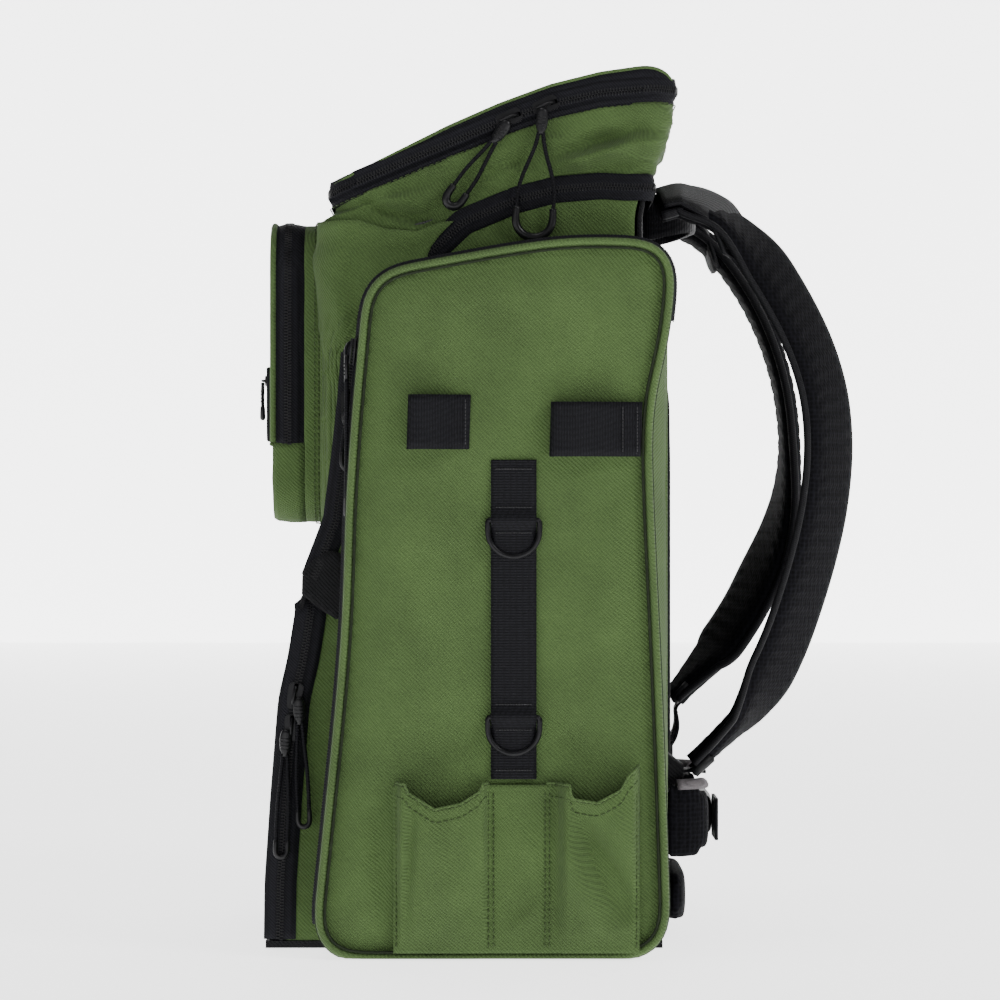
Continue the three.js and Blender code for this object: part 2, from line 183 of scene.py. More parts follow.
# ---- camera, light and floor ----
def build_stage():
    """Camera, soft lights, and a floor and backdrop of plain paper."""
    camera = bpy.data.objects.new("camera", bpy.data.cameras.new("camera"))
    bpy.context.scene.collection.objects.link(camera)
    camera.data.lens = 152.3
    camera.data.sensor_width = 36
    camera.location = (2.5, 0.0185, 0.252)
    camera.rotation_euler = (math.radians(90), 0, math.radians(90))
    bpy.context.scene.camera = camera

    world = bpy.data.worlds.new("studio")
    world.use_nodes = True
    world.node_tree.nodes["Background"].inputs["Color"].default_value = (1, 1, 1, 1)
    world.node_tree.nodes["Background"].inputs["Strength"].default_value = 0.22
    bpy.context.scene.world = world

    for name, place, size, power, aim in (
        ("key", (1.35, 1.6, 1.75), 0.7, 26, (0, 0, 0.25)),
        ("fill", (2.6, -0.9, 0.8), 1.6, 9, (0, 0, 0.25)),
        ("top", (0.4, -0.3, 2.3), 0.9, 11, (0, 0, 0.3)),
        ("rear", (-0.8, 2.2, 1.2), 1.2, 4, (0, 0, 0.25)),
    ):
        light = bpy.data.objects.new(name, bpy.data.lights.new(name, "AREA"))
        light.data.size = size
        light.data.energy = power
        light.location = place
        light.rotation_euler = (Vector(aim) - Vector(place)).to_track_quat("-Z", "Y").to_euler()
        bpy.context.scene.collection.objects.link(light)

    reach, tall, far = 5.0, 4.0, 16.0
    planes = {
        "floor": [(-far, -far, 0), (far, -far, 0), (far, far, 0), (-far, far, 0)],
        "backdrop": [(-reach, -reach, 0), (-reach, reach, 0), (-reach, reach, tall), (-reach, -reach, tall)],
    }
    for name, corners in planes.items():
        mesh = bpy.data.meshes.new(name)
        mesh.from_pydata(corners, [], [(0, 1, 2, 3)])
        plane = bpy.data.objects.new(name, mesh)
        plane.location.z = -0.0006
        plane.data.materials.append(pale(name, {"floor": 2.2, "backdrop": 3.3}[name]))
        bpy.context.scene.collection.objects.link(plane)


# ---- materials ----
class Look:
    """A Principled material with its nodes, fed from the object's own coordinates."""

    def __init__(self, name, rough, metal=0.0, sheen=0.0, specular=0.4):
        self.material = bpy.data.materials.new(name)
        self.material.use_nodes = True
        self.tree = self.material.node_tree
        self.shader = self.tree.nodes["Principled BSDF"]
        self.shader.inputs["Roughness"].default_value = rough
        self.shader.inputs["Metallic"].default_value = metal
        self.shader.inputs["Sheen Weight"].default_value = sheen
        self.shader.inputs["Specular IOR Level"].default_value = specular
        self.place = self.tree.nodes.new("ShaderNodeTexCoord").outputs["Object"]

    def node(self, kind, **values):
        made = self.tree.nodes.new(kind)
        for key, value in values.items():
            setattr(made, key, value)
        return made

    def link(self, out, into):
        self.tree.links.new(out, into)

    def math(self, how, a, b=None):
        made = self.node("ShaderNodeMath", operation=how)
        for slot, value in zip(made.inputs, (a, b)):
            if value is None:
                continue
            if isinstance(value, (int, float)):
                slot.default_value = value
            else:
                self.link(value, slot)
        return made.outputs[0]

    def noise(self, size, detail=3.0, rough=0.55):
        """Noise whose bumps are about size millimetres across."""
        made = self.node("ShaderNodeTexNoise")
        made.inputs["Scale"].default_value = 1 / (size * MM)
        made.inputs["Detail"].default_value = detail
        made.inputs["Roughness"].default_value = rough
        self.link(self.place, made.inputs["Vector"])
        return made.outputs["Fac"]

    def ribs(self, way, pitch):
        """Sine ribs across a direction, pitch millimetres apart, from -1 to 1."""
        made = self.node("ShaderNodeVectorMath", operation="DOT_PRODUCT")
        self.link(self.place, made.inputs[0])
        made.inputs[1].default_value = Vector(way).normalized()
        return self.math("SINE", self.math("MULTIPLY", made.outputs["Value"], 2 * math.pi / (pitch * MM)))

    def colours(self, value, *stops):
        ramp = self.node("ShaderNodeValToRGB")
        while len(ramp.color_ramp.elements) < len(stops):
            ramp.color_ramp.elements.new(0.5)
        for element, (at, colour) in zip(ramp.color_ramp.elements, stops):
            element.position = at
            element.color = (*colour, 1)
        self.link(value, ramp.inputs["Fac"])
        self.link(ramp.outputs["Color"], self.shader.inputs["Base Color"])

    def bump(self, height, depth, strength=1.0):
        made = self.node("ShaderNodeBump")
        made.inputs["Distance"].default_value = depth * MM
        made.inputs["Strength"].default_value = strength
        self.link(height, made.inputs["Height"])
        self.link(made.outputs["Normal"], self.shader.inputs["Normal"])

    def roughness(self, value, low, high):
        made = self.node("ShaderNodeMapRange")
        self.link(value, made.inputs["Value"])
        made.inputs["To Min"].default_value = low
        made.inputs["To Max"].default_value = high
        self.link(made.outputs["Result"], self.shader.inputs["Roughness"])


def shade(colour, factor):
    return tuple(c * factor for c in colour)


def twill(name, colour, sheen=0.03, rough=0.82):
    """Coated polyester twill: fine diagonal ribs crossed by finer threads, with a cloudy tone."""
    look = Look(name, rough, sheen=sheen, specular=0.2)
    rib = look.ribs((1, 1, 1), 1.35)
    thread = look.ribs((1, 1, -1), 0.85)
    weave = look.math("ADD", look.math("MULTIPLY", rib, 0.5), look.math("MULTIPLY", thread, 0.28))
    grain = look.noise(0.9, 2)
    cloud = look.math("ADD", look.math("MULTIPLY", look.noise(38, 4), 0.5), 0.25)
    weave = look.math("ADD", weave, look.math("MULTIPLY", look.math("SUBTRACT", grain, 0.5), 1.9))
    tone = look.math("ADD", look.math("MULTIPLY", weave, 0.17), cloud)
    look.colours(tone, (0.2, shade(colour, 0.5)), (0.52, colour), (0.86, shade(colour, 1.45)))
    look.bump(weave, 0.3, 0.75)
    look.roughness(grain, rough - 0.08, min(1.0, rough + 0.1))
    return look.material


def ribbed(name, colour, along=(0, 0, 1), pitch=1.5, cross=2.4, depth=0.35, rough=0.62):
    """Woven webbing: raised ribs across the run, broken by the warp."""
    look = Look(name, rough, specular=0.11)
    rib = look.ribs(along, pitch)
    flat = Vector((1, 1, 1)) - Vector(along)
    warp = look.ribs(flat, cross)
    weave = look.math("MULTIPLY", look.math("ADD", rib, 1.2),
                      look.math("ADD", look.math("MULTIPLY", warp, 0.35), 0.8))
    weave = look.math("ADD", look.math("MULTIPLY", weave, 0.4), look.noise(0.8, 2))
    look.colours(weave, (0.3, shade(colour, 0.45)), (0.75, colour), (1.0, shade(colour, 2.2)))
    look.bump(weave, depth, 0.8)
    return look.material


def moulded(name, colour, rough, metal=0.0):
    """Moulded plastic, rubber or lacquered metal, with a fine grain and scuffed tone."""
    look = Look(name, rough, metal=metal, specular=0.22)
    wear = look.noise(7, 5)
    look.colours(wear, (0.3, shade(colour, 0.7)), (0.6, colour), (0.85, shade(colour, 1.8)))
    look.bump(look.noise(0.6, 2), 0.05, 0.5)
    look.roughness(look.noise(3, 4), rough - 0.08, rough + 0.14)
    return look.material


def spacer_mesh(name, colour):
    """Padded spacer mesh: small dimples in offset rows."""
    look = Look(name, 0.9, specular=0.07)
    cells = look.node("ShaderNodeTexVoronoi", feature="F1")
    cells.inputs["Scale"].default_value = 1 / (2.6 * MM)
    cells.inputs["Randomness"].default_value = 0.25
    look.link(look.place, cells.inputs["Vector"])
    hole = look.math("ADD", cells.outputs["Distance"], look.math("MULTIPLY", look.noise(20, 3), 0.15))
    look.colours(hole, (0.25, shade(colour, 0.35)), (0.55, colour), (0.9, shade(colour, 2.1)))
    look.bump(hole, 0.5, 0.9)
    return look.material


def pale(name, glow):
    """Plain pale studio paper that glows a little of itself."""
    look = Look(name, 0.9, specular=0.1)
    look.colours(look.noise(400, 2), (0.3, (0.86, 0.86, 0.86)), (0.7, (0.9, 0.9, 0.9)))
    look.shader.inputs["Emission Color"].default_value = (1, 1, 1, 1)
    look.shader.inputs["Emission Strength"].default_value = glow
    return look.material


GREEN = (0.052, 0.09, 0.0265)
BLACK = (0.0045, 0.0045, 0.006)
LOOKS = {
    "green": twill("green_twill", GREEN),
    # Piping: the green twill made 5% lighter, a painted highlight along the cords.
    "piping": twill("green_piping_lit_copy", shade(GREEN, 1.05), rough=0.7),
    "shadow": moulded("seam_shadow", (0.012, 0.018, 0.008), 0.9),
    "thread": moulded("sewing_thread", (0.035, 0.058, 0.018), 0.7),
    "dark_thread": moulded("black_thread", (0.03, 0.03, 0.032), 0.7),
    "black": twill("black_polyester", (0.0035, 0.0035, 0.0045), rough=0.75),
    "lining": twill("grey_lining", (0.05, 0.052, 0.05), rough=0.8),
    "tape": ribbed("zip_tape", BLACK, along=(0, 1, 1), pitch=1.3, cross=1.0, depth=0.2, rough=0.7),
    "teeth": moulded("zip_coil", (0.006, 0.006, 0.007), 0.45),
    "web": ribbed("webbing_black", (0.003, 0.003, 0.004)),
    "web_flat": ribbed("webbing_flat", (0.003, 0.003, 0.004), along=(0, 1, 0)),
    "mesh": spacer_mesh("strap_spacer_mesh", (0.0028, 0.0028, 0.0038)),
    # Grey painted highlight for the top edges of the black hip wings.
    "trim": twill("grey_painted_edge_highlight", (0.11, 0.1, 0.105), rough=0.7),
    "binding": ribbed("edge_binding", (0.0042, 0.0042, 0.005), along=(0, 0.5, 1), pitch=1.1, cross=0.9,
                      depth=0.12),
    "plastic": moulded("buckle_acetal", (0.008, 0.008, 0.009), 0.45),
    "metal": moulded("black_lacquer", (0.008, 0.008, 0.009), 0.3, 0.4),
    "rubber": moulded("pull_rubber", (0.006, 0.006, 0.007), 0.3),
    "net": moulded("net_cord", (0.2, 0.2, 0.2), 0.6),
    "sheet": moulded("frame_sheet_plastic", (0.03, 0.03, 0.032), 0.5),
}


# The CAD material that each look stands for.
SLOTS = {
    **dict.fromkeys(("green", "piping", "shadow", "thread"), "green_fabric"),
    **dict.fromkeys(("black", "tape", "teeth", "lining", "binding", "trim"), "black_fabric"),
    **dict.fromkeys(("web", "web_flat", "dark_thread"), "webbing"),
    "mesh": "strap_mesh",
    "plastic": "buckle_plastic",
    "metal": "black_metal",
    "rubber": "pull_rubber",
    "net": "net",
}


# ---- mesh helpers; every point is in millimetres ----
GROUND = 0.1  # nothing reaches lower: cloth that touches the floor lies flat on it


def piece(name, points, faces, look, body, stands_for=(), thick=0.0, flat=False, slot=None):
    """A mesh that rides on a body. Its slot argument is not used."""
    mesh = bpy.data.meshes.new(name)
    resting = [Vector((p[0], p[1], max(p[2], GROUND))) for p in points]
    mesh.from_pydata([p * MM for p in resting], [], faces)
    mesh.validate()
    mesh.polygons.foreach_set("use_smooth", [not flat] * len(mesh.polygons))
    mesh.materials.append(LOOKS[look])
    made = bpy.data.objects.new(name, mesh)
    bpy.context.scene.collection.objects.link(made)
    if thick:
        shell = made.modifiers.new("cloth_thickness", "SOLIDIFY")
        shell.thickness = thick * MM
        shell.offset = -1
    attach(made, body)
    if stands_for:
        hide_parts(*stands_for)
    return made


def quads(rows, closed=False, wrap=False):
    """Faces joining equal rows of points; closed joins each row's ends, wrap the last row to the first."""
    wide, tall = len(rows[0]), len(rows)
    points = [p for row in rows for p in row]
    faces = []
    for j in range(tall if wrap else tall - 1):
        for i in range(wide if closed else wide - 1):
            a, b = j * wide + i, j * wide + (i + 1) % wide
            up = ((j + 1) % tall) * wide
            faces.append((a, b, up + (i + 1) % wide, up + i))
    return points, faces


def flipped(faces):
    return [tuple(reversed(f)) for f in faces]


def handed(made, side):
    """A (points, faces) pair, its faces turned over on the left, where the shape is mirrored."""
    return made if side > 0 else (made[0], flipped(made[1]))


def capped(rows):
    """Closed rows joined into a tube whose two ends are filled."""
    points, faces = quads(rows, closed=True)
    wide, last = len(rows[0]), len(points) - len(rows[0])
    return points, faces + [tuple(range(wide))[::-1], tuple(range(last, last + wide))]


def merged(*groups):
    points, faces = [], []
    for some_points, some_faces in groups:
        base = len(points)
        points += some_points
        faces += [tuple(i + base for i in f) for f in some_faces]
    return points, faces


def tube(path, radius, sides=8, closed=False, squash=1.0):
    """A round tube along a path, with closed ends; radius may be a function of the share travelled."""
    path = [Vector(p) for p in path]
    count = len(path)
    width = radius if callable(radius) else (lambda t: radius)
    rows, normal = [], None
    for i, at in enumerate(path):
        ahead = path[(i + 1) % count] if closed or i + 1 < count else at
        behind = path[i - 1] if closed or i else at
        way = (ahead - behind).normalized()
        if normal is None:
            normal = way.orthogonal().normalized()
        normal = (normal - way * normal.dot(way)).normalized()
        side = way.cross(normal)
        r = width(i / (count - 1))
        ring = [2 * math.pi * k / sides for k in range(sides)]
        rows.append([at + normal * math.cos(a) * r + side * math.sin(a) * r * squash for a in ring])
    return quads(rows, closed=True, wrap=True) if closed else capped(rows)


def brick(centre, axes, size):
    """A box about a centre, with half sizes along three directions."""
    signs = [(x, y, z) for z in (-1, 1) for y in (-1, 1) for x in (-1, 1)]
    points = [centre + sum((a * s * h for a, s, h in zip(axes, sign, size)), Vector()) for sign in signs]
    faces = [(0, 2, 3, 1), (4, 5, 7, 6), (0, 1, 5, 4), (2, 6, 7, 3), (0, 4, 6, 2), (1, 3, 7, 5)]
    return points, faces


def filled(loop, step):
    """An outline filled with an even triangle grid: (points, faces, distance of each point from the edge)."""
    edge = resample(loop, step, closed=True)
    count, row_step = len(edge), step * 0.87
    sides = list(zip(edge, edge[1:] + edge[:1]))
    low = Vector((min(p.x for p in edge), min(p.y for p in edge)))
    high = Vector((max(p.x for p in edge), max(p.y for p in edge)))
    grid = [Vector((low.x + (i + 0.5 * (j % 2)) * step, low.y + j * row_step))
            for j in range(int((high.y - low.y) / row_step) + 1)
            for i in range(int((high.x - low.x) / step) + 1)]

    def off(p):
        gaps = []
        for a, b in sides:
            nearest, share = geometry.intersect_point_line(p, a, b)
            beside = 0 <= share <= 1
            gaps.append((nearest.to_2d() - p).length if beside else min((a - p).length, (b - p).length))
        return min(gaps)

    def within(p):
        crossed = [(a.y > p.y) != (b.y > p.y) and p.x < a.x + (b.x - a.x) * (p.y - a.y) / (b.y - a.y)
                   for a, b in sides]
        return sum(crossed) % 2 == 1

    kept = [(p, off(p)) for p in grid if within(p)]
    kept = [(p, d) for p, d in kept if d > step * 0.45]
    edges = [(i, (i + 1) % count) for i in range(count)]
    points, _, faces, *_ = geometry.delaunay_2d_cdt(edge + [p for p, _ in kept], edges, [], 1, 1e-4)
    depth = {(round(p.x, 3), round(p.y, 3)): d for p, d in kept}
    return points, [tuple(f) for f in faces], [depth.get((round(p.x, 3), round(p.y, 3)), 0.0) for p in points]


def stitches(path, normal, length=2.4, gap=1.3, radius=0.32, lift=0.25):
    """A row of single stitches along a path: short rounded bars standing a little proud."""
    line = resample(path, length + gap)
    groups = []
    for a, b in zip(line, line[1:]):
        way = (b - a).normalized()
        out = normal(a) if callable(normal) else Vector(normal)
        start = a + way * gap / 2 + out * lift * 0.3
        end = b - way * gap / 2 + out * lift * 0.3
        middle = (start + end) / 2 + out * lift
        groups.append(tube([start, middle, end], radius, 5))
    return merged(*groups)


# ---- zips ----
TOOTH_PITCH = 1.7


def zip_halves(name, path, out, bodies, reach, bend=0.0, sink=0.0):
    """Two tapes and two rows of coil along a path. out gives the outward direction at a point index;
    the first tape lies on the left of the path, seen from outside. reach is each tape's width, and
    sink is how far its outer edge drops to the cloth that it is sewn to."""
    count = len(path)
    wide = reach if hasattr(reach, "__len__") else (reach, reach)
    for sign, body, tape_width in ((1, bodies[0], wide[0]), (-1, bodies[1], wide[1])):
        rows, teeth = [], []
        for i, at in enumerate(path):
            way = (path[min(i + 1, count - 1)] - path[max(i - 1, 0)]).normalized()
            normal = out(i).normalized()
            side = normal.cross(way).normalized() * sign
            lift = bend * ripple(at, 60, 4.0)
            section = ((0.02, 0.1), (0.1, 0.6), (2.6, 0.9), (3.1, 0.35), (tape_width * 0.6, 0.3 - 0.4 * sink),
                       (tape_width, -0.5 - sink), (tape_width, -1.2 - sink), (0.02, -0.6))
            rows.append([at + side * a + normal * (b + lift * a / tape_width) for a, b in section])
        piece(f"{name}_tape_{body}", *capped(rows), "tape", body)
        line = resample(path, TOOTH_PITCH)
        for k, (a, b) in enumerate(zip(line, line[1:])):
            way = (b - a).normalized()
            if k % 4 == 0:
                near = min(range(count), key=lambda i: (path[i] - a).length_squared)
            normal = out(near).normalized()
            side = normal.cross(way).normalized() * sign
            shift = 0.5 if sign > 0 else 0.0
            centre = a.lerp(b, shift) + side * 0.95 + normal * 0.9
            teeth.append(brick(centre, (side, way, normal), (1.05, 0.36, 0.4)))
        piece(f"{name}_coil_{body}", *merged(*teeth), "teeth", body, flat=True)


# ---- side pockets ----
# Soft folds in the side panel, as (start, end, height, width) in the panel's plane.
PANEL_FOLDS = (
    ((-35, 325), (20, 270), 2.4, 13), ((-48, 350), (-10, 300), -1.8, 10), ((60, 350), (88, 250), -2.0, 17),
    ((92, 300), (88, 200), 1.8, 9), ((-45, 240), (-48, 150), 1.4, 12), ((38, 132), (75, 100), -2.6, 9),
    ((16, 130), (-30, 104), -2.2, 9), ((45, 150), (85, 128), 1.6, 10), ((-60, 70), (-44, 130), 1.6, 10),
    ((-50, 95), (-44, 12), -1.6, 5), ((25, 240), (80, 215), -1.4, 16),
)


PANEL_FACE = box("side_door_right")[1].x + 2.3  # the crowned panel, where its fittings are sewn on
# Folds of the slip pockets' cloth: between the two pouches, then down the slack of each pouch.
GUSSET_FOLDS = (((20, 80), (40, 50), 1.2, 6), ((22, 12), (41, 30), 1.6, 5))
POUCH_FOLDS = (
    ((56, 88), (90, 24), -9.4, 7.5), ((50, 66), (76, 12), 3.2, 6), ((76, 90), (92, 58), 2.6, 4),
    ((-29, 94), (-33, 15), -3.4, 3), ((-24, 84), (-8, 20), 1.6, 6),
)


def mirrored(side):
    """Makes a point on the pack's right, or its mirror image on the left."""
    return lambda x, y, z: Vector((side * x, y, z))


def edge_normals(loop):
    """Outward directions in the plane of an anticlockwise loop."""
    ways = [after - before for before, after in zip(loop[-1:] + loop[:-1], loop[1:] + loop[:1])]
    return [Vector((way.y, -way.x)).normalized() for way in ways]


def build_side_pocket(name, side):
    """A side pocket: crowned door panel with corded edge, rim, gusset and the zip between them."""
    body = f"side_door_{name}"
    loop = smooth(resample(outline("side_door_right", 0), 4, True), 3, True)
    normals = edge_normals(loop)
    inner_x, outer_x = box("side_door_right")[0].x, box("side_door_right")[1].x
    foot_x = box("side_gusset_right")[0].x
    gusset_x = box("side_gusset_right")[1].x
    back_y = box("back_panel")[1].y

    at = mirrored(side)
    flat, faces, depth = filled(loop, 4.5)
    points = []
    for p, d in zip(flat, depth):
        y, z = p
        crown = 3.4 * ease(0, 26, d) + 1.6 * ease(10, 90, d)
        soft = ease(0, 34, d)
        fold = 1.3 * ripple((y, z, 0), (60, 90, 1), side) + 0.7 * ripple((y, z, 3), 26, side)
        fold += folds((y, z), PANEL_FOLDS)
        if fold > 0:
            fold = 1.9 * math.tanh(fold / 1.9)
        points.append(at(outer_x - 3.6 + crown + soft * fold, y, z))
    piece(f"side_panel_{name}", *handed((points, faces), side), "green", body,
          [f"side_door_{name}"], thick=1.6)

    cord = [at(outer_x - 1.6, *(p + n * 0.6)) for p, n in zip(loop, normals)]
    piece(f"side_piping_{name}", *tube(cord, 2.25, 12, closed=True), "piping", body)
    for inset, level, radius in ((2.5, -0.1, 0.75), (-2.6, -2.9, 0.8)):
        seam = [at(outer_x + level, *(p - n * inset)) for p, n in zip(loop, normals)]
        piece(f"side_piping_seam_{'in' if inset > 0 else 'out'}_{name}", *tube(seam, radius, 6, closed=True),
              "shadow", body)

    # The door's rim, then the gusset, which widens towards the back as it nears the body.
    def gusset_row(x, grow):
        row = []
        share = (gusset_x - x) / (gusset_x - foot_x)
        for p, n in zip(loop, normals):
            q = p + n * grow
            far = back_y + 0.8
            if p.x > 84 and 12 < p.y < 388:
                q.x += (far - q.x) * ease(0, 0.75, share) * ease(12, 40, p.y) * ease(388, 372, p.y)
            soft = math.sin(math.pi * min(1, max(0, share)))
            lift = soft * (1.4 * ripple((x, p.x, p.y), (26, 40, 40), side) + 1.2)
            if p.y < 16:
                lift = min(lift, 0.4)
            row.append(at(x, *(q + n * lift)))
        return row

    rim = [gusset_row(outer_x - 2.8, 0.2), gusset_row(inner_x + 6, 1.0), gusset_row(inner_x + 0.6, 1.2)]
    piece(f"side_door_rim_{name}", *handed(quads(rim, True), -side), "tape", body, thick=1.2)
    steps = [gusset_x - 0.2, 162, 156, 150, 143, 136, 130, 125, foot_x + 0.8]
    rows = [gusset_row(x, 1.0) for x in steps]
    piece(f"side_gusset_cloth_{name}", *handed(quads(rows, True), -side), "green",
          "bag_body", [f"side_gusset_{name}"], thick=1.6)
    foot = [p + Vector((side * 0.4, 0, 0)) for p in gusset_row(foot_x + 0.6, 2.0)]
    foot = [Vector((p.x, p.y, max(p.z, 2.4))) for p in foot]
    piece(f"side_gusset_piping_{name}", *tube(foot, 1.9, 8, closed=True), "piping", "bag_body")

    # The zip runs from high on the back edge, over the top and down the front edge.
    run = turned([i for i, p in enumerate(loop) if not (p.y < 16 or (p.x > 60 and p.y < 349))], len(loop))
    path = [at((inner_x + gusset_x) / 2, *(loop[i] + normals[i] * 3.9)) for i in run]
    outward = [Vector((0, *normals[i])) for i in run]
    bodies = ("bag_body", body) if side > 0 else (body, "bag_body")
    zip_halves(f"side_zip_{name}", path, lambda i: outward[i], bodies, 7.5, sink=2.6)


def build_slip_pockets(name, side):
    """One cloth with two slack pouches, hemmed along the top."""
    body, at = f"side_door_{name}", mirrored(side)
    low, high = box("slip_pockets_right")
    # Each pouch: its two seams, then its mouth as (share across, height over the CAD top).
    pouches = (
        (low.y + 1, 12.5,
         ((0, 0), (0.1, 0.2), (0.14, -5), (0.42, -14), (0.7, -11), (0.9, -4.5), (0.94, 0), (1, 0))),
        (43.5, high.y,
         ((0, 0), (0.26, -0.5), (0.2, -1), (0.3, -8.5), (0.55, -10.5), (0.8, -3.5), (0.88, 4), (1, 10))),
    )

    def pouch_top(y):
        for y0, y1, mouth in pouches:
            if y0 <= y <= y1:
                return high.z + height_on(mouth, (y - y0) / (y1 - y0))
        return high.z - 1

    def cloth(y, z):
        top = pouch_top(y)
        level = (z - low.z) / (high.z - low.z)
        bulge = folds((y, z), GUSSET_FOLDS)
        for k, (y0, y1, _) in enumerate(pouches):
            if y0 <= y <= y1:
                t = (y - y0) / (y1 - y0)
                rise = ease(0.015, 0.065, t) if k == 0 else ease(0.1, 0.24, t)
                bulge = rise * ease(1.0, 0.93, t) * (11.5 - 4.0 * t) * (0.25 + 0.75 * ease(0.0, 0.85, level))
                bulge += rise * ease(1.0, 0.85, t) * 1.0 * ripple((y, z, 0), (16, 30, 1), y0)
        bulge += folds((y, z), POUCH_FOLDS)
        edge = ease(low.z, low.z + 16, z)
        return PANEL_FACE + 1.3 + max(0.0, bulge) * (0.2 + 0.8 * edge) + 0.4 * (z > top - 7)

    columns = spread(low.y, high.y, 110)
    rows = []
    for j in range(45):
        row = []
        for y in columns:
            top = pouch_top(y)
            z = low.z + (top - low.z) * j / 44
            row.append(at(cloth(y, z), y, z))
        rows.append(row)
    piece(f"slip_pockets_cloth_{name}", *handed(quads(rows), side), "green", body,
          [f"slip_pockets_{name}"], thick=1.3)
    for k, (y0, y1, _) in enumerate(pouches):
        for inset, tag in ((0.9, "edge"), (7.5, "hem")):
            path = [at(cloth(y, pouch_top(y) - inset) + 0.35, y, pouch_top(y) - inset)
                    for y in spread(y0 + 1, y1 - 1, 60)]
            piece(f"slip_pocket_{tag}_{k}_{name}", *stitches(path, (side, 0, 0)), "thread", body)
        lip = [at(cloth(y, pouch_top(y)) + 0.1, y, pouch_top(y)) for y in spread(y0 + 0.5, y1 - 0.5, 80)]
        piece(f"slip_pocket_lip_{k}_{name}", *tube(lip, 0.8, 8), "piping", body)
    for k, y in enumerate((low.y + 1.6, 12.2, 15.0, 43.2, 45.6, high.y - 1.6)):
        path = [at(cloth(y, z) + 0.3, y, z) for z in spread(low.z + 3, high.z - 5, 20)]
        piece(f"slip_pocket_seam_{k}_{name}", *stitches(path, (side, 0, 0)), "thread", body)


def build_webbing_strip(name, side):
    """Vertical webbing, lifted where it passes over each D-ring's bar."""
    body, at = f"side_door_{name}", mirrored(side)
    low, high = box("webbing_strip_right")
    bars = [box(f"d_ring_{w}_right")[1].z - 1.5 for w in ("upper", "lower")]
    rows = []
    for z in spread(low.z, high.z, 149):
        lift = max(3.3 * math.exp(-(((z - b) / 4.2) ** 2)) for b in bars)
        wave = 0.35 * ripple((0, z, 0), 18)
        row = []
        for i in range(9):
            y = low.y + (high.y - low.y) * i / 8
            curl = 0.35 * (1 - (2 * i / 8 - 1) ** 2)
            row.append(at(PANEL_FACE + 1.5 + lift + wave + curl, y, z))
        rows.append(row)
    piece(f"webbing_cloth_{name}", *handed(quads(rows), side), "web", body,
          [f"webbing_strip_{name}"], thick=1.5)
    for k, z in enumerate((low.z + 5, bars[1] - 7, bars[1] + 7, bars[0] - 7, bars[0] + 7, high.z - 5)):
        path = [at(PANEL_FACE + 2.2, low.y + 2.5, z), at(PANEL_FACE + 2.3, high.y - 2.5, z)]
        piece(f"webbing_tack_{k}_{name}", *stitches(path, (side, 0, 0), 1.2, 0.3), "dark_thread", body)


def build_rod_loop(name, side, where):
    """Webbing sewn down at its rear end, which stands off the panel at its front end."""
    body, at = f"side_door_{name}", mirrored(side)
    low, high = box(f"loop_{where}_right")
    length = high.y - low.y
    drop = 3.2 if where == "back" else -0.8
    spine = [(PANEL_FACE + 0.2, low.y + 2.0), (PANEL_FACE + 5.5, low.y + 0.2),
             (PANEL_FACE + 9.6, low.y + 3.2),
             (PANEL_FACE + 9.8, low.y + length * 0.28), (PANEL_FACE + 6.2, low.y + length * 0.56),
             (PANEL_FACE + 1.9, low.y + length * 0.76), (PANEL_FACE + 1.2, high.y - 1)]
    spine = smooth(resample(spine, 1.5), 2)
    rows = []
    for p in spine:
        row = []
        for i in range(9):
            z = low.z + (high.z - low.z) * i / 8 - drop
            row.append(at(p.x + 0.25 * ripple((p.y, z, 0), 9), p.y + (z - low.z) * 0.03, z))
        rows.append(row)
    piece(f"rod_loop_{where}_{name}", *handed(quads(rows), -side), "web_flat", body,
          [f"loop_{where}_{name}"], thick=1.6)
    for k, y in enumerate((high.y - 3, high.y - 11)):
        path = [at(PANEL_FACE + 2.6, y, low.z + 2.5 - drop), at(PANEL_FACE + 2.6, y, high.z - 2.5 - drop)]
        piece(f"rod_loop_tack_{where}_{k}_{name}", *stitches(path, (side, 0, 0), 1.4, 0.5), "dark_thread",
              body)


def build_d_rings():
    """D-ring wires: a straight bar, two short sides and a half circle."""
    for name, _ in SIDES:
        for where in ("upper", "lower"):
            node = f"d_ring_{where}_{name}"
            low, high = box(node)
            x, top = (low.x + high.x) / 2, high.z - 1.5
            middle, half = (low.y + high.y) / 2, (high.y - low.y) / 2 - 1.5
            drop = top - low.z - 1.5 - half
            path = [(x, middle + half * k, top) for k in (-1, -0.5, 0, 0.5, 1)]
            path += [(x, middle + half, top - drop * 0.5)]
            path += [(x, middle + half * math.cos(a), top - drop - half * math.sin(a))
                     for a in [math.pi * i / 20 for i in range(21)]]
            path += [(x, middle - half, top - drop * 0.5)]
            ring = smooth(resample(path, 1.4, True), 1, True)
            piece(f"d_ring_wire_{where}_{name}", *tube(ring, 1.55, 12, closed=True), "metal", node, [node])


# ---- the pack's shell: flap, boxed top, lid, walls ----
WALL_LOOP = outline("side_wall_right", 0)
MAIN_ZIP = [Vector(p) for p in stretch(WALL_LOOP, (97.7, 427.4), (-86.2, 207.9))][::-1]
LID_LOOP = outline("top_lid", 0)
LID_ZIP = stretch(LID_LOOP, (-76.5, 424.5), (117, 483))
LID_TOP = stretch(LID_LOOP, (117, 486), (-77, 429.5))[::-1]
HALF = box("side_wall_right")[1].x


def zip_y(z):
    """Where the main zip crosses height z on the pack's side."""
    return height_on([(p.y, p.x) for p in MAIN_ZIP], z)


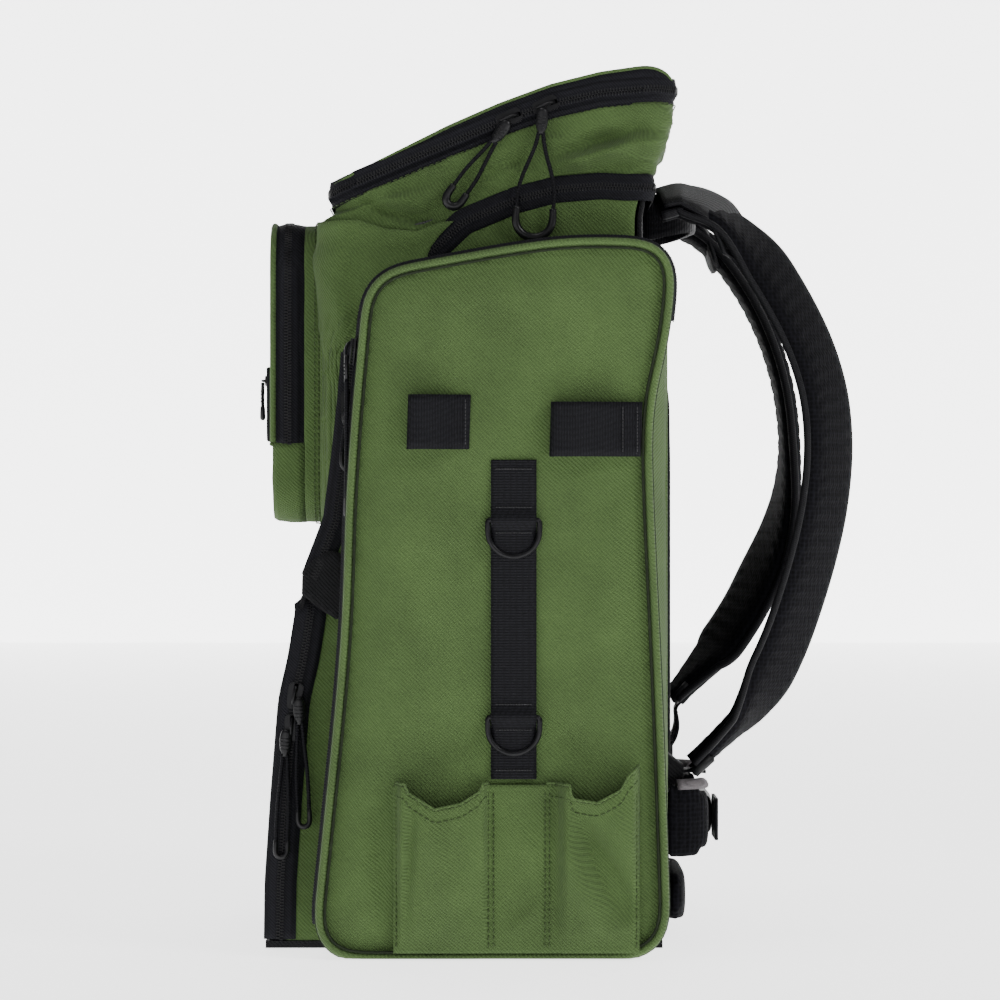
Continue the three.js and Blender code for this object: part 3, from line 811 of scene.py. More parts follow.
def rounded_plan(half, front, back, radius, step=4.0):
    """Plan outline of a box with rounded upright corners, from the middle of the back round by +X."""
    corners = ((half - radius, back - radius, 90), (half - radius, front + radius, 0),
               (-half + radius, front + radius, -90), (-half + radius, back - radius, -180))
    path = [Vector((0, back))]
    for x, y, start in corners:
        for k in range(9):
            a = math.radians(start - 90 * k / 8)
            path.append(Vector((x + radius * math.cos(a), y + radius * math.sin(a))))
    return resample(path, step, closed=True)


# Height of the seam between the flap and the boxed top, against Y, and the folds on their sides.
BOX_SEAM = [(-80, 408), (-62, 409), (-46, 404), (-28, 402.5), (-14, 408)]
FLAP_FOLDS = (((-78, 400), (-58, 300), 1.8, 7), ((-40, 396), (-12, 392), -2.6, 5))
TOP_BOX_FOLDS = (
    ((40, 436), (100, 455), 6.4, 3.8), ((50, 446), (106, 465), -6.0, 5), ((40, 428), (106, 444), -4.0, 3.4),
    ((98, 455), (109, 446), 3.0, 3), ((-60, 420), (16, 446), -3.0, 5), ((-30, 430), (30, 452), 2.6, 4),
    ((0, 432), (40, 449), -2.2, 4),
)
WALL_FOLDS = (((-10, 392), (60, 405), 2.5, 6), ((20, 402), (92, 412), -2.0, 5))


def build_flap():
    """The main flap's cloth: its front, rounded corners and side returns to the main zip."""
    front_y = box("flap_front_panel")[0].y
    face_y = box("upper_pocket_base")[1].y - 0.3
    foot, top = box("flap_front_panel")[0].z, 408.0
    radius = 13.0

    def front_at(z):
        return face_y + (front_y - face_y) * ease(240, 208, z)

    rows = []
    for j, z in enumerate(spread(foot, top, 51)):
        cover = ease(332, 352, z) * ease(396, 386, z)
        edge, face = zip_y(z) - 5 + 9 * cover, front_at(z)
        side_path = [(HALF, edge), (HALF, face + radius)]
        curve = [(HALF - radius + radius * math.cos(a), face + radius - radius * math.sin(a))
                 for a in [math.pi / 2 * k / 6 for k in range(1, 7)]]
        near = resample([Vector(p) for p in side_path + curve], 2.5)
        count = 26
        near = [near[min(len(near) - 1, round(i * (len(near) - 1) / count))] for i in range(count + 1)]
        across = [Vector((HALF - radius - (2 * (HALF - radius)) * k / 40, face)) for k in range(1, 40)]
        far = [Vector((-p.x, p.y)) for p in near[::-1]]
        row = []
        for k, p in enumerate(near + across + far):
            on_side = abs(p.x) > HALF - radius
            away = Vector((0, -1))
            if on_side:
                away = Vector((p.x - math.copysign(HALF - radius, p.x), p.y - face - radius))
            if on_side and p.y > face + radius:
                away = Vector((p.x, 0))
            away.normalize()
            free = ease(0, 22, abs(p.y - edge)) if on_side else 1.0
            point = (p.x, p.y, z)
            fold = 2.1 * crease(point, (60, 17, 70), 2) + 0.8 * ripple(point, 15, 1)
            fold *= ease(foot, foot + 25, z) * free * (1 if on_side else 0.4)
            if abs(p.x) < 104 and 236 < z < 411:
                fold *= 0.2
            if on_side:
                fold += folds((p.y, z), FLAP_FOLDS) * free
            level = foot + (height_on(BOX_SEAM, p.y) + 0.8 - foot) * j / 51
            swell = 1.6 * ease(370, 404, z) - 0.8 + (2.6 * cover if on_side else 0)
            row.append(Vector((p.x + away.x * (fold + swell), p.y + away.y * (fold + swell), level)))
        rows.append(row)
    piece("flap_front_cloth", *quads(rows), "green", "main_flap", ["flap_front_panel"], thick=1.6)


def build_top_box():
    """The boxed top's walls, from the main zip to the lid's zip, with a slack drape at the front."""
    low, high = box("top_box")
    steps = 26
    plan_top = rounded_plan(HALF - 0.6, low.y, high.y, 14)
    plan_foot = rounded_plan(HALF - 0.6, low.y - 3.5, 104.5, 14)
    rows = []
    for j in range(steps + 1):
        t = j / steps
        row = []
        for a, b in zip(plan_foot, plan_top):
            seam = height_on(BOX_SEAM, a.y)
            z0 = seam + (height_on(MAIN_ZIP, a.y) + 6.5 - seam) * ease(-24, -8, a.y)
            z1 = height_on(LID_ZIP, b.y) - 7.2
            p = a.lerp(b, t)
            z = z0 + (z1 - z0) * t
            away = Vector((p.x * 0.9, p.y - 20)).normalized()
            if abs(p.x) > HALF - 15 and -60 < p.y < 100:
                away = Vector((math.copysign(1, p.x), 0))
            point = (p.x, p.y, z)
            slack = 2.6 * crease((p.x, p.y, z + 0.28 * p.y), (80, 90, 13), 5)
            slack += 2.2 * ease(0, -60, p.y) * crease((p.x, p.y, z - 0.35 * p.y), (80, 60, 15), 7)
            slack += 1.2 * ripple(point, 22, 3)
            rise = z - z0
            sag = 6.6 * ease(4, -30, p.y) * math.exp(-(((rise - 9) / 6.0) ** 2))
            slack -= sag * (0.75 + 0.5 * ripple(point, 30, 8))
            if abs(p.x) > HALF - 15:
                slack += folds((p.y, z), TOP_BOX_FOLDS)
            hold = math.sin(math.pi * min(1, t * 0.96 + 0.02)) ** 0.5
            puff = 1.5 * hold + 1.35 * slack * hold - 0.8
            row.append(Vector((p.x + away.x * puff, p.y + away.y * puff, z)))
        rows.append(row)
    piece("top_box_cloth", *handed(quads(rows, closed=True), -1), "green", "main_flap",
          ["top_box"], thick=1.6)
    floor = [(-HALF + 3, low.y + 2), (HALF - 3, low.y + 2), (HALF - 3, 103), (-HALF + 3, 103)]
    flat, faces, _ = filled([Vector(p) for p in floor], 14)
    floor_line = [(-77, 398), (-20, 409), (20, 428), (60, 437.5), (104, 438)]
    points = [(p.x, p.y, height_on(floor_line, p.y) + 1.0 * ripple((p.x, p.y, 0), 40)) for p in flat]
    piece("top_box_lining", points, faces, "lining", "main_flap", thick=1.2)


def build_lid():
    """The lid's crowned panel, its band and piping, and the zip round it."""
    low, high = box("top_lid")
    half, front, back = high.x, low.y, high.y
    corner = 15.0
    rows = []
    count_y, count_x = 62, 40
    for j in range(count_y + 1):
        y = front + (back - front) * (0.5 - 0.5 * math.cos(math.pi * j / count_y))
        inset = 0.0
        for end, way in ((front + corner, -1), (back - corner, 1)):
            if (y - end) * way > 0:
                inset = corner - math.sqrt(max(0.0, corner ** 2 - (y - end) ** 2))
        width = half - inset
        row = []
        for i in range(count_x + 1):
            u = -math.cos(math.pi * i / count_x)
            x = width * u
            z = height_on(LID_TOP, y) - 1.2
            edge = min((1 - abs(u)) * width, (y - front) * 1.2, (back - y) * 1.2)
            z += 1.3 * ease(0, 34, edge) + 0.6 * ripple((x, y, 0), (50, 34, 1), 6) * ease(0, 20, edge)
            z += 0.7 * crease((x, y, 0), (120, 36, 1), 9) * ease(2, 24, edge)
            row.append(Vector((x, y, z)))
        rows.append(row)
    piece("lid_panel", *quads(rows), "green", "top_lid", ["top_lid"], thick=4.0)
    plan = rounded_plan(half, front, back, corner, 3.0)

    def top_edge(p, drop, out=0.0):
        away = Vector((p.x, p.y - 20)).normalized() * out
        return Vector((p.x + away.x, p.y + away.y, height_on(LID_TOP, p.y) - drop))

    piece("lid_piping", *tube([top_edge(p, 0.9, 0.2) for p in plan], 1.0, 8, closed=True), "piping",
          "top_lid")
    band = [[top_edge(p, 1.1, 0.7) for p in plan],
            [top_edge(p, 1.4, 1.3).lerp(Vector((p.x, p.y, height_on(LID_ZIP, p.y) + 1.0)), 0.5)
             for p in plan],
            [Vector((p.x, p.y, height_on(LID_ZIP, p.y) + 0.8)) for p in plan]]
    piece("lid_band", *quads(band, True), "tape", "top_lid", thick=1.2)
    skirt = [[Vector((p.x, p.y, height_on(LID_ZIP, p.y) - 0.8)) for p in plan],
             [Vector((p.x * 0.997, p.y, height_on(LID_ZIP, p.y) - 8.4)) for p in plan]]
    piece("top_box_band", *quads(skirt, True), "tape", "main_flap", thick=1.2)
    lower = [Vector((p.x * 1.002, p.y + (0.6 if p.y > 0 else -0.6), height_on(LID_ZIP, p.y) - 8.2))
             for p in plan]
    piece("top_box_band_stitch", *stitches([*lower, lower[0]],
                                           lambda p: Vector((p.x, p.y - 20, 0)).normalized()),
          "thread", "main_flap")
    run = turned([i for i, p in enumerate(plan) if not (p.y > back - 1 and abs(p.x) < half - 22)], len(plan))
    line = [plan[i] for i in run]

    def stand_off(p):
        return 0.9 if p.y > back - 2 else -0.9 if p.y < front + 2 else 0.0

    def outward(i):
        p = line[i]
        by_side, by_end = abs(p.x) > half - corner, min(p.y - front, back - p.y) < corner
        return Vector((p.x if by_side or not by_end else 0, p.y - 20 if by_end else 0, 0))

    path = [Vector((p.x * 1.012, p.y + stand_off(p), height_on(LID_ZIP, p.y))) for p in line]
    zip_halves("lid_zip", path, outward, ("top_lid", "main_flap"), (5.0, 6.5))


def build_side_walls():
    """The body's own sides, behind the main zip."""
    for name, side in SIDES:
        flat, faces, depth = filled(WALL_LOOP, 5.0)
        points = []
        for p, d in zip(flat, depth):
            soft = ease(0, 22, d)
            fold = 2.4 * crease((0, p.x, p.y), (1, 34, 12), 3 + side) + 1.4 * ripple((0, p.x, p.y), 26, side)
            fold += folds(p, WALL_FOLDS)
            fold *= ease(360, 385, p.y) if p.x > -40 else ease(-40, -70, p.x) * 0.6
            points.append(Vector((side * (HALF - 0.6 + soft * fold), p.x, p.y)))
        piece(f"side_wall_cloth_{name}", *handed((points, faces), side), "green", "bag_body",
              [f"side_wall_{name}"], thick=1.6)

        # Binding patch over the corner where the two zips of the body side meet.
        patch = [(-93, 199), (-92.5, 212), (-86, 219), (-77, 224), (-70, 222), (-68, 200), (-72, 184),
                 (-82, 190)]
        flat, faces, _ = filled([Vector(p) for p in patch], 3.5)
        points = [(side * (HALF + 1.9 + 0.6 * ripple((p.x, p.y, 0), 9)), p.x, p.y) for p in flat]
        piece(f"side_patch_{name}", *handed((points, faces), side), "black",
              "bag_body", thick=2.2)


def build_main_zip():
    """Up the near side, across the back under the boxed top, and down the far side."""
    radius = 9.0
    near = [Vector((HALF + 0.6, p.x, p.y)) for p in resample(MAIN_ZIP, 4)]
    turn = [Vector((HALF + 0.6 - radius + radius * math.cos(a), 96.5 + radius * math.sin(a), 428.0))
            for a in [math.pi / 2 * k / 5 for k in range(6)]]
    path = near[:-2] + turn
    across = [Vector((HALF - radius - 6 * k, 96.5 + radius, 428.0)) for k in range(1, 37)]
    path = path + across + [Vector((-p.x, p.y, p.z)) for p in path[::-1]]

    def out(i):
        p = path[i]
        if p.y <= 96.5:
            return Vector((p.x, 0, 0))
        if abs(p.x) <= HALF - radius:
            return REARWARD
        return Vector((p.x - math.copysign(HALF + 0.6 - radius, p.x), p.y - 96.5, 0))

    zip_halves("main_zip", path, out, ("main_flap", "bag_body"), 7.5, bend=0.6)


def build_lower_zip():
    """Round the drop-down door's sides and top."""
    door = outline("lower_door", 0)
    low, high = box("lower_door")
    edge = stretch(door, (low.y + 8, low.z), (-84, high.z))
    edge = [p for p in edge if p.x > -106.5]
    side_line = sorted(edge, key=lambda p: p.y)
    near = [Vector((HALF + 0.9, p.x, p.y)) for p in resample(side_line, 4)][:-2]
    top_y, top_z = side_line[-1].x - 4, side_line[-1].y + 1.0
    over = [Vector(((HALF - 6) * k, top_y - 3, top_z)) for k in [1 - i / 20 for i in range(41)]]
    path = near + over + [Vector((-p.x, p.y, p.z)) for p in near[::-1]]
    path = smooth(path, 2)

    def out_lower(i):
        p = path[i]
        return Vector((p.x, 0, 0)) if abs(p.x) > HALF - 3 else Vector((p.x * 0.02, -1, 0.25))

    zip_halves("lower_zip", path, out_lower, ("lower_door", "bag_body"), (9.0, 9.0), bend=0.5)


def build_lower_door():
    """The drop-down door: bound cloth, a small zip and three rows of webbing."""
    door = outline("lower_door", 0)
    low, high = box("lower_door")
    front = sorted(stretch(door, (-92, 201.5), (low.y, low.z)), key=lambda p: p.y)
    half = high.x - 0.8
    rows = []
    for j in range(46):
        z = low.z + 1 + (high.z - low.z - 2) * j / 45
        y = height_on([(p.y, p.x) for p in front], z)
        row = []
        for i in range(53):
            u = -1 + 2 * i / 52
            edge = min((1 - abs(u)) * half, z - low.z, high.z - z)
            bulge = 1.6 * ease(0, 30, edge) + 1.0 * ripple((u * 90, 0, z), 34, 4) * ease(0, 20, edge)
            row.append(Vector((u * half, y + 2.0 - bulge, z)))
        rows.append(row)
    piece("lower_door_cloth", *quads(rows), "black", "lower_door", ["lower_door"], thick=2.0)
    ring = [r[0] for r in rows] + rows[-1][1:] + [r[-1] for r in rows[::-1]][1:] + rows[0][::-1][1:]
    ring = resample(ring, 4, True)
    piece("lower_door_binding", *tube([p + Vector((0, 0.8, 0)) for p in ring], 1.9, 8, closed=True),
          "binding",
          "lower_door")
    rim = [[Vector((p.x, p.y + shift, p.z)) for p in ring] for shift in (1.5, 8.0)]
    piece("lower_door_rim", *quads(rim, True), "tape", "lower_door", thick=1.0)

    # A slim pocket on the door, closed by its own small zip, over two rows of webbing.
    def skin(z):
        return height_on([(p.y, p.x) for p in front], z) + 0.2

    path = [Vector((x, skin(163) - 1.2, 163)) for x in range(-84, 85, 6)]
    zip_halves("door_pocket_zip", path, lambda i: Vector((0, -1, 0)), ("lower_door", "lower_door"), 6.0)
    for k, z in enumerate((118, 76, 34)):
        rows = [[Vector((x, skin(z + dz) - 1.4 - 1.1 * abs(math.sin(math.pi * (x + 96) / 38)), z + dz))
                 for x in range(-96, 97, 4)] for dz in (-12.5, -6, 0, 6, 12.5)]
        piece(f"door_webbing_{k}", *quads(rows), "web_flat", "lower_door", thick=1.3)
        bars = [stitches([Vector((x, skin(z - 10) - 1.7, z - 10)), Vector((x, skin(z + 10) - 1.7, z + 10))],
                         (0, -1, 0), 1.4, 0.4)
                for x in range(-96, 97, 38)]
        piece(f"door_webbing_tacks_{k}", *merged(*bars), "dark_thread", "lower_door")


def build_upper_pocket():
    """The upper front pocket: gusset, bands, zip, foot and door."""
    low, high = box("upper_pocket_base")
    door_low = box("upper_pocket_door")[0]
    corner = 26.0
    middle = (low.z + high.z) / 2

    def ring(grow, step=3.5):
        half, z0, z1, r = high.x + grow, low.z - grow, high.z + grow, corner + grow
        path = []
        corners = ((half - r, z0 + r, -90), (half - r, z1 - r, 0),
                   (-half + r, z1 - r, 90), (-half + r, z0 + r, 180))
        for x, z, start in corners:
            for k in range(9):
                a = math.radians(start + 90 * k / 8)
                path.append(Vector((x + r * math.cos(a), z + r * math.sin(a))))
        return resample(path, step, True)

    base = ring(0)
    away = [Vector((p.x, (p.y - middle) * 1.2)).normalized() for p in base]
    shut = -101.9

    def row(y, lift, wrinkle):
        made = []
        for p, n in zip(base, away):
            q = p + n * (lift + wrinkle * ripple((p.x, y, p.y), (30, 8, 30), 3))
            made.append(Vector((q.x, y, q.y)))
        return made

    def outward_from(p):
        return Vector((p.x, 0, (p.z - middle) * 1.2)).normalized()

    gusset = [row(high.y + 0.2, 1.6, 0.2), row(-84, 0.9, 0.8), row(-88, 0.6, 1.2), row(-91, 0.4, 0.8),
              row(-92.6, 0.2, 0.2)]
    piece("upper_pocket_gusset", *quads(gusset, True), "green", "main_flap", ["upper_pocket_base"], thick=1.6)
    piece("upper_pocket_binding", *tube(row(high.y - 0.6, 2.0, 0.0), 1.6, 8, closed=True), "piping",
          "main_flap")
    for k, y in enumerate((-84.3, -86.6)):
        line = row(y, 1.35, 0.9)
        piece(f"upper_pocket_stitch_{k}", *stitches([*line, line[0]], outward_from),
              "thread", "main_flap")

    # The part of the band below the door is green; the rest carries the zip.
    zip_z = door_low.z - 1.5
    split = turned([i for i, p in enumerate(base) if p.y >= zip_z], len(base))
    rest = turned([i for i, p in enumerate(base) if p.y < zip_z], len(base))

    def part(indices, levels, look, name, body):
        rows = [[row(y, lift, w)[i] for i in indices] for y, lift, w in levels]
        piece(name, *quads(rows), look, body, thick=1.4)

    part(split, [(-92.4, 0.2, 0), (-96, 0.6, 0.3), (-100.6, 0.3, 0)], "tape", "upper_pocket_band",
         "main_flap")
    part(split, [(-103.4, 0.3, 0), (-107, 0.4, 0.3), (-109.6, 0.0, 0)], "tape", "upper_door_band",
         "upper_pocket_door")
    part([split[-1]] + rest + [split[0]], [(-92.2, 0.3, 0.2), (-97, 0.8, 1.0), (-103, 0.8, 1.2),
                                           (-108, 0.2, 0.6), (-110.6, -1.6, 0)],
         "green", "upper_pocket_foot_band", "main_flap")
    path = [row(shut, 0.9, 0)[i] for i in split]
    outward = [Vector((away[i].x, 0, away[i].y)) for i in split]
    zip_halves("upper_zip", path, lambda i: outward[i], ("upper_pocket_door", "main_flap"), (6.0, 7.5))

    # Front faces: the green foot below the door, and the door itself.
    for name, keep, body, node in (("upper_pocket_foot", False, "main_flap", None),
                                   ("upper_pocket_face", True, "upper_pocket_door", "upper_pocket_door")):
        inner = ring(-1.2, 5)
        part_loop = [p for p in inner if (p.y >= door_low.z + 0.8) == keep and abs(p.y - door_low.z) > 0.8]
        first = next(k for k in range(len(part_loop)) if (part_loop[k] - part_loop[k - 1]).length > 12)
        part_loop = part_loop[first:] + part_loop[:first]
        level = door_low.z + (0.6 if keep else -0.6)
        part_loop = [Vector((part_loop[0].x, level))] + part_loop + [Vector((part_loop[-1].x, level))]
        flat, faces, depth = filled(part_loop, 5.5)
        points = []
        for p, d in zip(flat, depth):
            crown = 2.2 * ease(0, 22, d) + 0.7 * ripple((p.x, 0, p.y), 30, 2) * ease(0, 15, d)
            points.append(Vector((p.x, door_low.y + 1.9 - crown, p.y)))
        piece(name, points, faces, "green", body, [node] if node else (), thick=1.8)
    arc = [row(door_low.y + 1.7, 0.0, 0)[i] for i in split]
    piece("upper_door_piping", *tube(arc, 1.8, 8), "piping", "upper_pocket_door")
    seam = [Vector((x, door_low.y + 0.9, door_low.z - 0.2)) for x in range(-99, 100, 6)]
    piece("upper_door_hinge_seam", *tube(seam, 1.3, 8), "piping", "main_flap")


def build_net():
    """The net pocket on the upper door, over a black backing."""
    low, high = box("mesh_pocket")

    def skin(x, z):
        t = min(1, max(0, (z - low.z) / (high.z - low.z)))
        u = (x - low.x) / (high.x - low.x)
        return high.y - 0.4 - 2.2 * math.sin(math.pi * t) ** 0.7 * math.sin(math.pi * u) ** 0.4 - 0.4

    pitch = 4.2
    strands = []
    for k in range(int((high.x - low.x) / pitch) + 1):
        x = low.x + k * pitch
        strands.append(tube([Vector((x, skin(x, z), z)) for z in spread(low.z, high.z, 10)], 0.45, 4))
    for k in range(int((high.z - low.z) / pitch) + 1):
        z = low.z + k * pitch
        strands.append(tube([Vector((x, skin(x, z) - 0.3, z)) for x in spread(low.x, high.x, 30)], 0.45, 4))
    piece("net_strands", *merged(*strands), "net", "upper_pocket_door", ["mesh_pocket"])
    corners = [Vector(c) for c in ((low.x, low.z), (high.x, low.z), (high.x, high.z), (low.x, high.z))]
    frame_path = resample([Vector((c.x, high.y - 1.0, c.y)) for c in corners], 5, True)
    piece("net_binding", *tube(frame_path, 2.0, 8, closed=True, squash=0.7), "binding", "upper_pocket_door",
          slot="webbing")
    flat, faces, _ = filled(corners, 8)
    piece("net_backing", [Vector((p.x, high.y - 0.1, p.y)) for p in flat], faces, "black",
          "upper_pocket_door", thick=0.5)
    z = box("slider_mesh")[0].z + 4
    path = [Vector((x, high.y - 2.4, z)) for x in range(int(low.x) + 4, int(high.x) - 3, 6)]
    zip_halves("net_zip", path, lambda i: Vector((0, -1, 0)), ("upper_pocket_door", "upper_pocket_door"), 4.0)


# ---- sliders and pulls ----
def build_zip_pulls():
    """Each slider, and the toggle, cord and grip that hang from it."""
    right, left, front = (1, 0), (-1, 0), (0, -1)
    walls = {"lid_rear": right, "lid_front": right, "main_right": right, "main_left": left,
             "lower_upper": right,
             "lower_lower": right, "side_right": front, "side_left": front, "mesh": front}
    joints = {j["child"]: j for j in frame["joints"]}
    for name, wall in walls.items():
        out = Vector((*wall, 0))
        slide, swing = joints[f"slider_{name}"], joints[f"pull_{name}"]
        way = Vector(slide["axis"]).normalized()
        if way.z < 0:
            way = -way
        across = out.cross(way).normalized()
        low, high = box(f"slider_{name}")
        centre = (low + high) / 2
        scale = 0.75 if name == "mesh" else 1.0
        base = centre - out * 1.9 * scale
        plates = []
        for level, size in ((0.6, 1.0), (2.7, 0.94)):
            rows = []
            for t, w in ((-1, 0.55), (-0.82, 0.78), (-0.3, 0.86), (0.25, 1.0), (0.8, 1.0), (1.0, 0.6)):
                at = base + way * t * 7.6 * scale * size + out * level * scale
                rows.append([at + across * w * 4.2 * u * scale for u in (-1, -0.5, 0, 0.5, 1)])
            points, faces = quads(rows)
            top = [p + out * 0.9 * scale for p in points]
            count = len(points)
            shell = flipped(faces) + [tuple(i + count for i in f) for f in faces]
            edge = [0, 1, 2, 3, 4, 9, 14, 19, 24, 29, 28, 27, 26, 25, 20, 15, 10, 5]
            shell += [(a, b, b + count, a + count) for a, b in zip(edge, edge[1:] + edge[:1])]
            plates.append((points + top, shell))
        plates.append(brick(base + way * 4.8 * scale + out * 2.2 * scale, (across, way, out),
                            (1.2 * scale, 2.2 * scale, 1.4 * scale)))
        arch = ((-5.4, 3.4), (-4.6, 5.0), (-1.5, 6.0), (1.8, 6.0), (4.4, 5.0), (5.2, 3.4))
        crown = [base + way * t * scale + out * h * scale for t, h in arch]
        plates.append(tube(smooth(resample(crown, 1.2), 1), 0.95 * scale, 8))
        piece(f"slider_body_{name}", *merged(*plates), "metal", f"slider_{name}", [f"slider_{name}"],
              flat=True)

        body = f"pull_{name}"
        low, high = box(body)
        pin = Vector(swing["pos_m"]) / MM
        foot = Vector(((low.x + high.x) / 2, (low.y + high.y) / 2, low.z))
        if name == "lid_front":
            foot = Vector((foot.x, low.y + 5.5, low.z + 4.5))
        if name == "lid_rear":
            foot.y = low.y + 12
        hang = foot - pin
        hang -= out * hang.dot(out)
        length = hang.length
        hang.normalize()
        aside = out.cross(hang).normalized()
        half = {"lid_rear": 10.5, "mesh": 3.0}.get(name, 4.6 if "lid" in name else 3.4)
        tab = 15.0 if length > 50 else min(12.0, length * 0.32)
        grip = 12.0 if length > 50 else length * 0.32
        # Tab: a flat moulded toggle through the slider's crown.
        rows = []
        for t in [i / 8 for i in range(9)]:
            w = 2.0 + 1.5 * math.sin(math.pi * min(1, t * 1.15)) ** 0.5
            at = pin + hang * (t * tab - 1.0)
            ring = [2 * math.pi * k / 12 for k in range(12)]
            rows.append([at + aside * math.cos(a) * w * scale + out * math.sin(a) * 1.45 * scale
                         for a in ring])
        toggle = capped(rows)
        ridges = [tube([pin + hang * (4 + 2.0 * k) - aside * 2.6 * scale + out * 1.3 * scale,
                        pin + hang * (4 + 2.0 * k) + aside * 2.6 * scale + out * 1.3 * scale], 0.45, 6)
                  for k in range(4)]
        piece(f"pull_toggle_{name}", *merged(toggle, *ridges), "rubber", body, [body])
        # Cord: down one side, round inside the grip and back up.
        start = pin + hang * (tab - 2.5)
        end = length - 2.0
        left = [start + aside * 1.3]
        for t in [i / 10 for i in range(1, 10)]:
            spread = 1.3 + (half - 1.3) * ease(0, 0.75, t) + 0.25 * math.sin(5 * t)
            left.append(start.lerp(pin + hang * (end - half), t) + aside * spread)
        bend = [pin + hang * (end - half + half * math.sin(a)) + aside * half * math.cos(a)
                for a in [math.pi * i / 10 for i in range(11)]]
        right = [p - aside * 2 * (p - start).dot(aside) for p in left[::-1]]
        route = smooth(resample(left + bend + right, 2.0), 2)
        cord_radius = 1.15 * (0.8 if name == "mesh" else 1)
        strand = piece(f"pull_cord_{name}", *tube(route, cord_radius, 10), "web", body, slot="pull_rubber")
        # Grip: a thicker moulded U over the cord's bend.
        u = [pin + hang * (end - half - grip * 0.55 + grip * 0.11 * k) + aside * half * (0.97 + 0.006 * k)
             for k in range(5)]
        u += bend
        u += [p - aside * 2 * (p - pin).dot(aside) for p in u[4::-1]]
        thick = lambda t: (2.0 + 0.5 * math.sin(math.pi * t)) * (0.62 if half < 4 else 1.0)
        cap = piece(f"pull_grip_{name}", *tube(smooth(resample(u, 1.6), 2), thick, 12), "rubber", body)


# ---- harness ----
def section_band(name, spine, width, thick, look, body, slot, stands_for, twist, shift, edge, ribs=0.0):
    """A padded band along a spine in the YZ plane: a flat oval section that leans by twist and moves
    inwards by shift, both functions of the share travelled, with bound edges."""
    rows, edges = [], ([], [])
    count = len(spine)
    travelled = 0.0
    for i, at in enumerate(spine):
        ahead, behind = spine[min(i + 1, count - 1)], spine[max(i - 1, 0)]
        way = (ahead - behind).normalized()
        t = i / (count - 1)
        travelled += (at - behind).length / 2 if i else 0
        across = ACROSS
        out = across.cross(way).normalized()
        at = at - out * shift(t)
        turn = Matrix.Rotation(twist(t), 3, way)
        across, out = turn @ across, turn @ out
        half = width(t) / 2
        row = []
        for k in range(40):
            a = 2 * math.pi * k / 40
            u = math.copysign(abs(math.cos(a)) ** 0.55, math.cos(a))
            v = math.copysign(abs(math.sin(a)) ** 0.8, math.sin(a))
            pad = thick / 2 * (1 - 0.55 * ease(0.78, 1.0, abs(u)))
            rib = 0.0
            if ribs and abs(u) < 0.74:
                rib = ribs * math.cos(2 * math.pi * (travelled + abs(u) * half * 0.9) / 4.6)
            row.append(at + across * u * half + out * v * (pad + rib))
        rows.append(row)
        for sign, line in zip((1, -1), edges):
            line.append(at + across * sign * (half - 0.4))
    made = piece(name, *capped(rows), look, body, stands_for, slot=slot)
    for tag, line in zip(("outer", "inner"), edges):
        piece(f"{name}_binding_{tag}", *tube(line, edge, 12, squash=0.75), "binding", body, slot=slot)
    return made


def strap_spine(node):
    """The middle of a CAD strap, from its root to its foot, at even steps."""
    loop = outline(node, 0)
    low, high = box(node)
    count = len(loop)
    top = min(range(count), key=lambda i: (loop[i] - Vector((104, 426))).length)
    loop = loop[top:] + loop[:top]
    half = count // 2
    one = resample(loop[:half], 4)
    other = resample(loop[half:][::-1], 4)
    steps = 90
    line = []
    for i in range(steps + 1):
        a = one[round(i * (len(one) - 1) / steps)]
        b = other[round(i * (len(other) - 1) / steps)]
        line.append(Vector(((low.x + high.x) / 2, *((a + b) / 2))))
    return smooth(line, 6)


def build_straps():
    """Padded shoulder straps that lean outwards along their run, each under a short yoke."""
    for name, side in SIDES:
        node = f"shoulder_strap_{name}"
        spine = smooth(resample(strap_spine(node), 1.1), 3)[8:-12]
        onward, inward = (spine[-1] - spine[-9]).normalized(), Vector((0, -0.95, -0.25)).normalized()
        spine = [spine[0] + inward * k for k in (12, 9, 6, 3)] + spine
        spine += [spine[-1] + onward * k for k in range(3, 35, 3)]

        def twist(t, side=side):
            if side > 0:
                return (0.22 + 0.28 * ease(0.05, 0.2, t)) * ease(1.04, 0.86, t)
            return -0.36 * ease(0.5, 0.8, t) * ease(1.04, 0.92, t)

        def shift(t, side=side):
            return 5.0 * ease(0.0, 0.3, t) * ease(1.0, 0.82, t) if side > 0 else 0.0

        def width(t):
            return 58 - 22 * ease(0.93, 1.0, t) ** 2

        made = section_band(f"strap_pad_{name}", spine, width, 11.5, "mesh", "bag_body", "strap_mesh", [node],
                            twist, shift, edge=2.8, ribs=0.38)
        lift = Vector((0, 0.18, 1)).normalized()
        cover = [p + lift * (6.0 - 5.0 * ease(0.25, 0.8, i / 46)) for i, p in enumerate(spine[:47])]
        section_band(f"strap_yoke_{name}", smooth(cover, 4), lambda t: 60 - 16 * ease(0.8, 1.0, t) ** 2, 6.5,
                     "black",
                     "bag_body", "black_fabric", (), lambda t: 0.22 + 0.24 * t if side > 0 else 0.0,
                     lambda t: 7.0 * ease(0.55, 1.0, t), edge=1.6)
        build_strap_end(name, onward)


